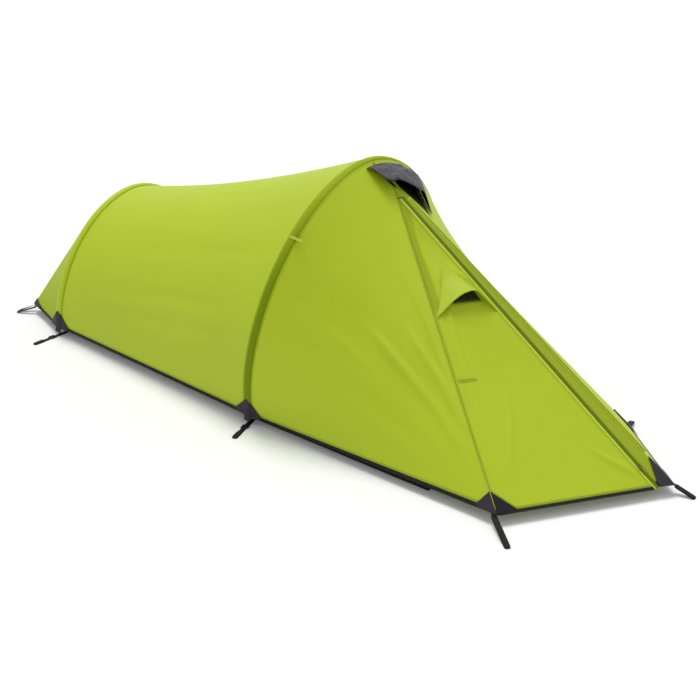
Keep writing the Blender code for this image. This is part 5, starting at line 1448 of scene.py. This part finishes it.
def makeSmallLoops():
    # the guy loop on the front sleeve, and the cord loop that ties the door back
    k = smallLoops["step"]
    along = unit(frontLine[k + 4] - frontLine[k - 4])
    seat = sleeveShape["halfDepth"] + hem["gap"] + webbing["thickness"] / 2
    dip = seat - smallLoops["dip"]
    start, bend = smallLoops["sewn"]
    reach, fold = smallLoops["reach"], webbing["fold"]
    stops = [(start, seat), (bend, seat), (reach, dip), (reach + fold / 2, dip + fold / 2),
             (reach, dip + fold), (bend, seat + fold)]
    points = [frontLine[k] + frontAxis * a + frontOut[k] * lift for a, lift in stops]
    strapPiece("sleeve_guy_tab", "sleeve_guy_loop", points, [along] * len(points),
               webbing["loopWidth"] / 2, 1, material=loopCord)

    half = smallLoops["tieHalf"] / float(np.linalg.norm(doorTop - nearCorner))
    rise = smallLoops["tieRise"]
    width = float(np.linalg.norm(doorPoint(rise, 1.0) - doorPoint(rise, 0.0)))
    legs = smallLoops["tieLegs"]
    legs = np.array(legs + [(r, -s) for r, s in legs[-2::-1]])
    lift = 0.0005 + 0.0006 + smallLoops["tieRadius"]
    path = aboveDoor(rise + half * legs[:, 1], legs[:, 0] / width, lift)
    piece = roundTube("door_tie_cord", smoothPath(path, 8), smallLoops["tieRadius"])
    handOver(piece, loopCord, ["door_tie_loop"], "door", sheetHeld=None)


# Inner tent

inner = dict(clearance=0.045, sag=0.020, lowZ=0.0709, columns=21, sideColumns=6,
             doorShares=(0.06, 0.25, 0.45, 0.65, 0.80, 1.0), doorColumns=(6, 12), gap=0.0012,
             thickness=0.0006, slack=dict(seed=111, lowest=5.0, highest=22.0, height=0.0016))


def makeGroundsheet():
    # A tray: ground, four walls that lean inwards, a point kept apart at each corner
    near, far, rimNear, rimFar = floorChains()
    lift, rise = up * 0.0005, up * (groundsheet["wall"] - 0.0005)

    def across(a, b, c, d):
        walls = [mix(a, b, s) for s in shares(5)[:-1]]
        ground = [mix(b, c, s) for s in shares(41)]
        return np.array(walls + ground + [mix(c, d, s) for s in shares(5)[1:]])

    def rimRow(k):
        a, d = rimNear[k] + rise, rimFar[k] + rise
        return across(a, mix(a, d, 0.01), mix(a, d, 0.99), d)

    rows = [rimRow(0)]
    rows += [across(rimNear[k] + rise, near[k] + lift, far[k] + lift, rimFar[k] + rise)
             for k in range(4)]
    rows.append(rimRow(3))
    grid = moreRows(np.array(rows), 12)
    flat = grid[..., 2] < 0.004
    slack = np.abs(streaks(grid[..., 0] + 0.3 * grid[..., 1], 101, **groundsheet["slack"]))
    slack += np.abs(streaks(grid[..., 1] - 0.2 * grid[..., 0], 102, **groundsheet["slack"]))
    grid[..., 2] += np.where(flat, slack, 0.0)
    piece = shell("groundsheet", grid, groundsheet["thickness"] * 0.9)
    handOver(piece, floorNylon, ["inner_floor"])


def innerArch(hoop):
    # the hoop's curve, smaller by the clearance, from rim to rim
    shape = dict(hoop, halfWidth=hoop["halfWidth"] - inner["clearance"],
                 height=hoop["height"] - inner["clearance"])
    low = float(hoopAngle(shape, inner["lowZ"]))
    return evenly(hoopCurve(shape, np.linspace(low, math.pi - low, 721)), inner["columns"])


def makeInner():
    # Rings from the rear rim to the front rim, each from near to far, sagging between
    count, side = inner["columns"], inner["sideColumns"]
    rimNear, rimFar = floorChains()[2:]
    rise = up * inner["lowZ"]
    rearArch, frontArch = innerArch(rearHoop), innerArch(frontHoop)
    rearArch[0], rearArch[-1] = rimNear[1] + rise, rimFar[1] + rise
    frontArch[0], frontArch[-1] = rimNear[2] + rise, rimFar[2] + rise

    def endRow(arch, k):
        return np.concatenate([lineOf(arch[0], rimNear[k] + rise, side)[:-1],
                               lineOf(rimNear[k] + rise, rimFar[k] + rise, count - 2 * side + 2),
                               lineOf(rimFar[k] + rise, arch[-1], side)[1:]])

    back, ahead = endRow(rearArch, 0), endRow(frontArch, 3)
    rows = [mix(back, rearArch, s) for s in (0.0, 0.33, 0.67)]
    depth = inner["sag"] * np.sin(math.pi * shares(count))[:, None]
    rows += [mix(rearArch, frontArch, s) - up * depth * 4.0 * s * (1.0 - s)
             for s in shares(6)]
    first = len(rows)
    rows += [mix(ahead, frontArch, s) for s in inner["doorShares"][::-1][1:]] + [ahead]
    factor = 6
    grid = finer(np.array(rows), factor, factor)
    left, right = inner["doorColumns"]
    hole = tuple(k * factor for k in (first, first + 4, left, right))
    flat = grid[hole[0]:hole[1] + 1, hole[2]:hole[3] + 1].copy()
    height = streaks(shares(grid.shape[1])[None, :], **inner["slack"])
    height = height * window(grid, 0.6)
    height[hole[0] - 2:hole[1] + 3, hole[2] - 2:hole[3] + 3] = 0.0
    piece = shell("inner_tent_cloth", raised(grid, height), inner["thickness"], hole=hole)
    handOver(piece, innerNylon, ["inner_canopy"])
    piece = shell("inner_door_netting", shrunk(flat, inner["gap"]), vent["meshThickness"])
    handOver(piece, blackMesh, ["inner_door"], "inner_mesh_door")


makeTunnel()
makeSleeve("front_sleeve_cloth", "front_pole_sleeve", frontHoop, frontLine, frontOut,
           doubledNylon)
makeSleeve("rear_sleeve_cloth", "rear_pole_sleeve", rearHoop, rearLine, rearOut, flyNylon)
makeRear()
makePorchSides()
makeDoor()
makeFront()
makeStormFlap()
makeHem()
print("fly sewn")
makeHood()
makeAwning()
makeCornerPatches()
makeFootPatches()
makeWebbing()
makeSmallLoops()
print("hood, patches and webbing made")
makeGroundsheet()
makeInner()
print("inner tent hung")


# CAD nodes that stay: poles, tips, shock cords, buckles, slider and puller

for nodeName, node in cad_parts.items():
    if "shock_cord" in nodeName:
        finish = shockCordBraid
    elif "pole_section" in nodeName:
        finish = anodisedTube
    elif nodeName in ("zip_slider", "zip_puller"):
        finish = oliveZinc
    elif "tip_" in nodeName or "_tip" in nodeName or "buckle" in nodeName:
        finish = blackAcetal
    else:
        continue
    for place in node.material_slots:
        place.material = finish
print("poles and fittings dressed")


# Floor, light and camera

studio = dict(floorTone="#FAFAFA", floorGlow=0.06, glowStrength=1.07, ambient=0.585,
              keyStrength=1.8, keyAngle=26.0, keyTurn=(-11.5, -20.9, 0.0))
white = (1.0, 1.0, 1.0, 1.0)


def seenDirectly(tree):
    # one for what the camera sees straight, mirrored in metal or through glass
    rays = addNode(tree, "ShaderNodeLightPath", {}).node.outputs
    seen = maths(tree, "MAXIMUM", rays["Is Camera Ray"], rays["Is Glossy Ray"])
    return maths(tree, "MAXIMUM", seen, rays["Is Transmission Ray"])


def makeFloor():
    mesh = bpy.data.meshes.new("floor")
    half = 30.0
    mesh.from_pydata([(-half, -half, 0.0), (half, -half, 0.0), (half, half, 0.0),
                      (-half, half, 0.0)], [], [(0, 1, 2, 3)])
    piece = placed("floor", mesh)
    # pale paper sweep: matt, and seen by the camera it glows a little to stay white
    material, tree = newMaterial("pale paper floor")
    share = maths(tree, "MULTIPLY", seenDirectly(tree), studio["floorGlow"])
    matt = addNode(tree, "ShaderNodeBsdfDiffuse", {"Color": colour(studio["floorTone"])})
    glow = addNode(tree, "ShaderNodeEmission", {"Color": white,
                                                "Strength": studio["glowStrength"]})
    mesh.materials.append(finished(material, addNode(
        tree, "ShaderNodeMixShader", {0: share, 1: matt, 2: glow})))


def makeLight():
    world = bpy.data.worlds.new("studio")
    bpy.context.scene.world = world
    world.use_nodes = True
    tree = world.node_tree
    tree.nodes.clear()
    soft, plain = (addNode(tree, "ShaderNodeBackground", {"Color": white, "Strength": strength})
                   for strength in (studio["ambient"], 1.0))
    blend = addNode(tree, "ShaderNodeMixShader", {0: seenDirectly(tree), 1: soft, 2: plain})
    addNode(tree, "ShaderNodeOutputWorld", {0: blend})
    lamp = bpy.data.lights.new("overhead", "SUN")
    lamp.energy = studio["keyStrength"]
    lamp.angle = math.radians(studio["keyAngle"])
    placed("overhead", lamp).rotation_euler = [math.radians(turn) for turn in studio["keyTurn"]]


# found from the photograph: a focal length of 1497.17 pixels in a picture 700 wide
view = dict(place=(3.477, -3.9916, 2.3604), yaw=2.2799, pitch=0.4010, sensor=36.0,
            focalShare=1497.17 / 700)


def makeCamera():
    yaw, pitch = view["yaw"], view["pitch"]
    ahead = Vector((math.cos(yaw) * math.cos(pitch), math.sin(yaw) * math.cos(pitch),
                    -math.sin(pitch)))
    right = Vector((math.sin(yaw), -math.cos(yaw), 0.0))
    top = right.cross(ahead)
    data = bpy.data.cameras.new("camera")
    data.sensor_width = view["sensor"]
    data.lens = view["focalShare"] * view["sensor"]
    data.clip_end = 200.0
    camera = placed("camera", data)
    turn = Matrix((right, top, -ahead)).transposed().to_4x4()
    camera.matrix_world = Matrix.Translation(view["place"]) @ turn
    bpy.context.scene.camera = camera


makeFloor()
makeLight()
makeCamera()
bpy.context.scene.view_settings.view_transform = "Standard"
print("studio set")
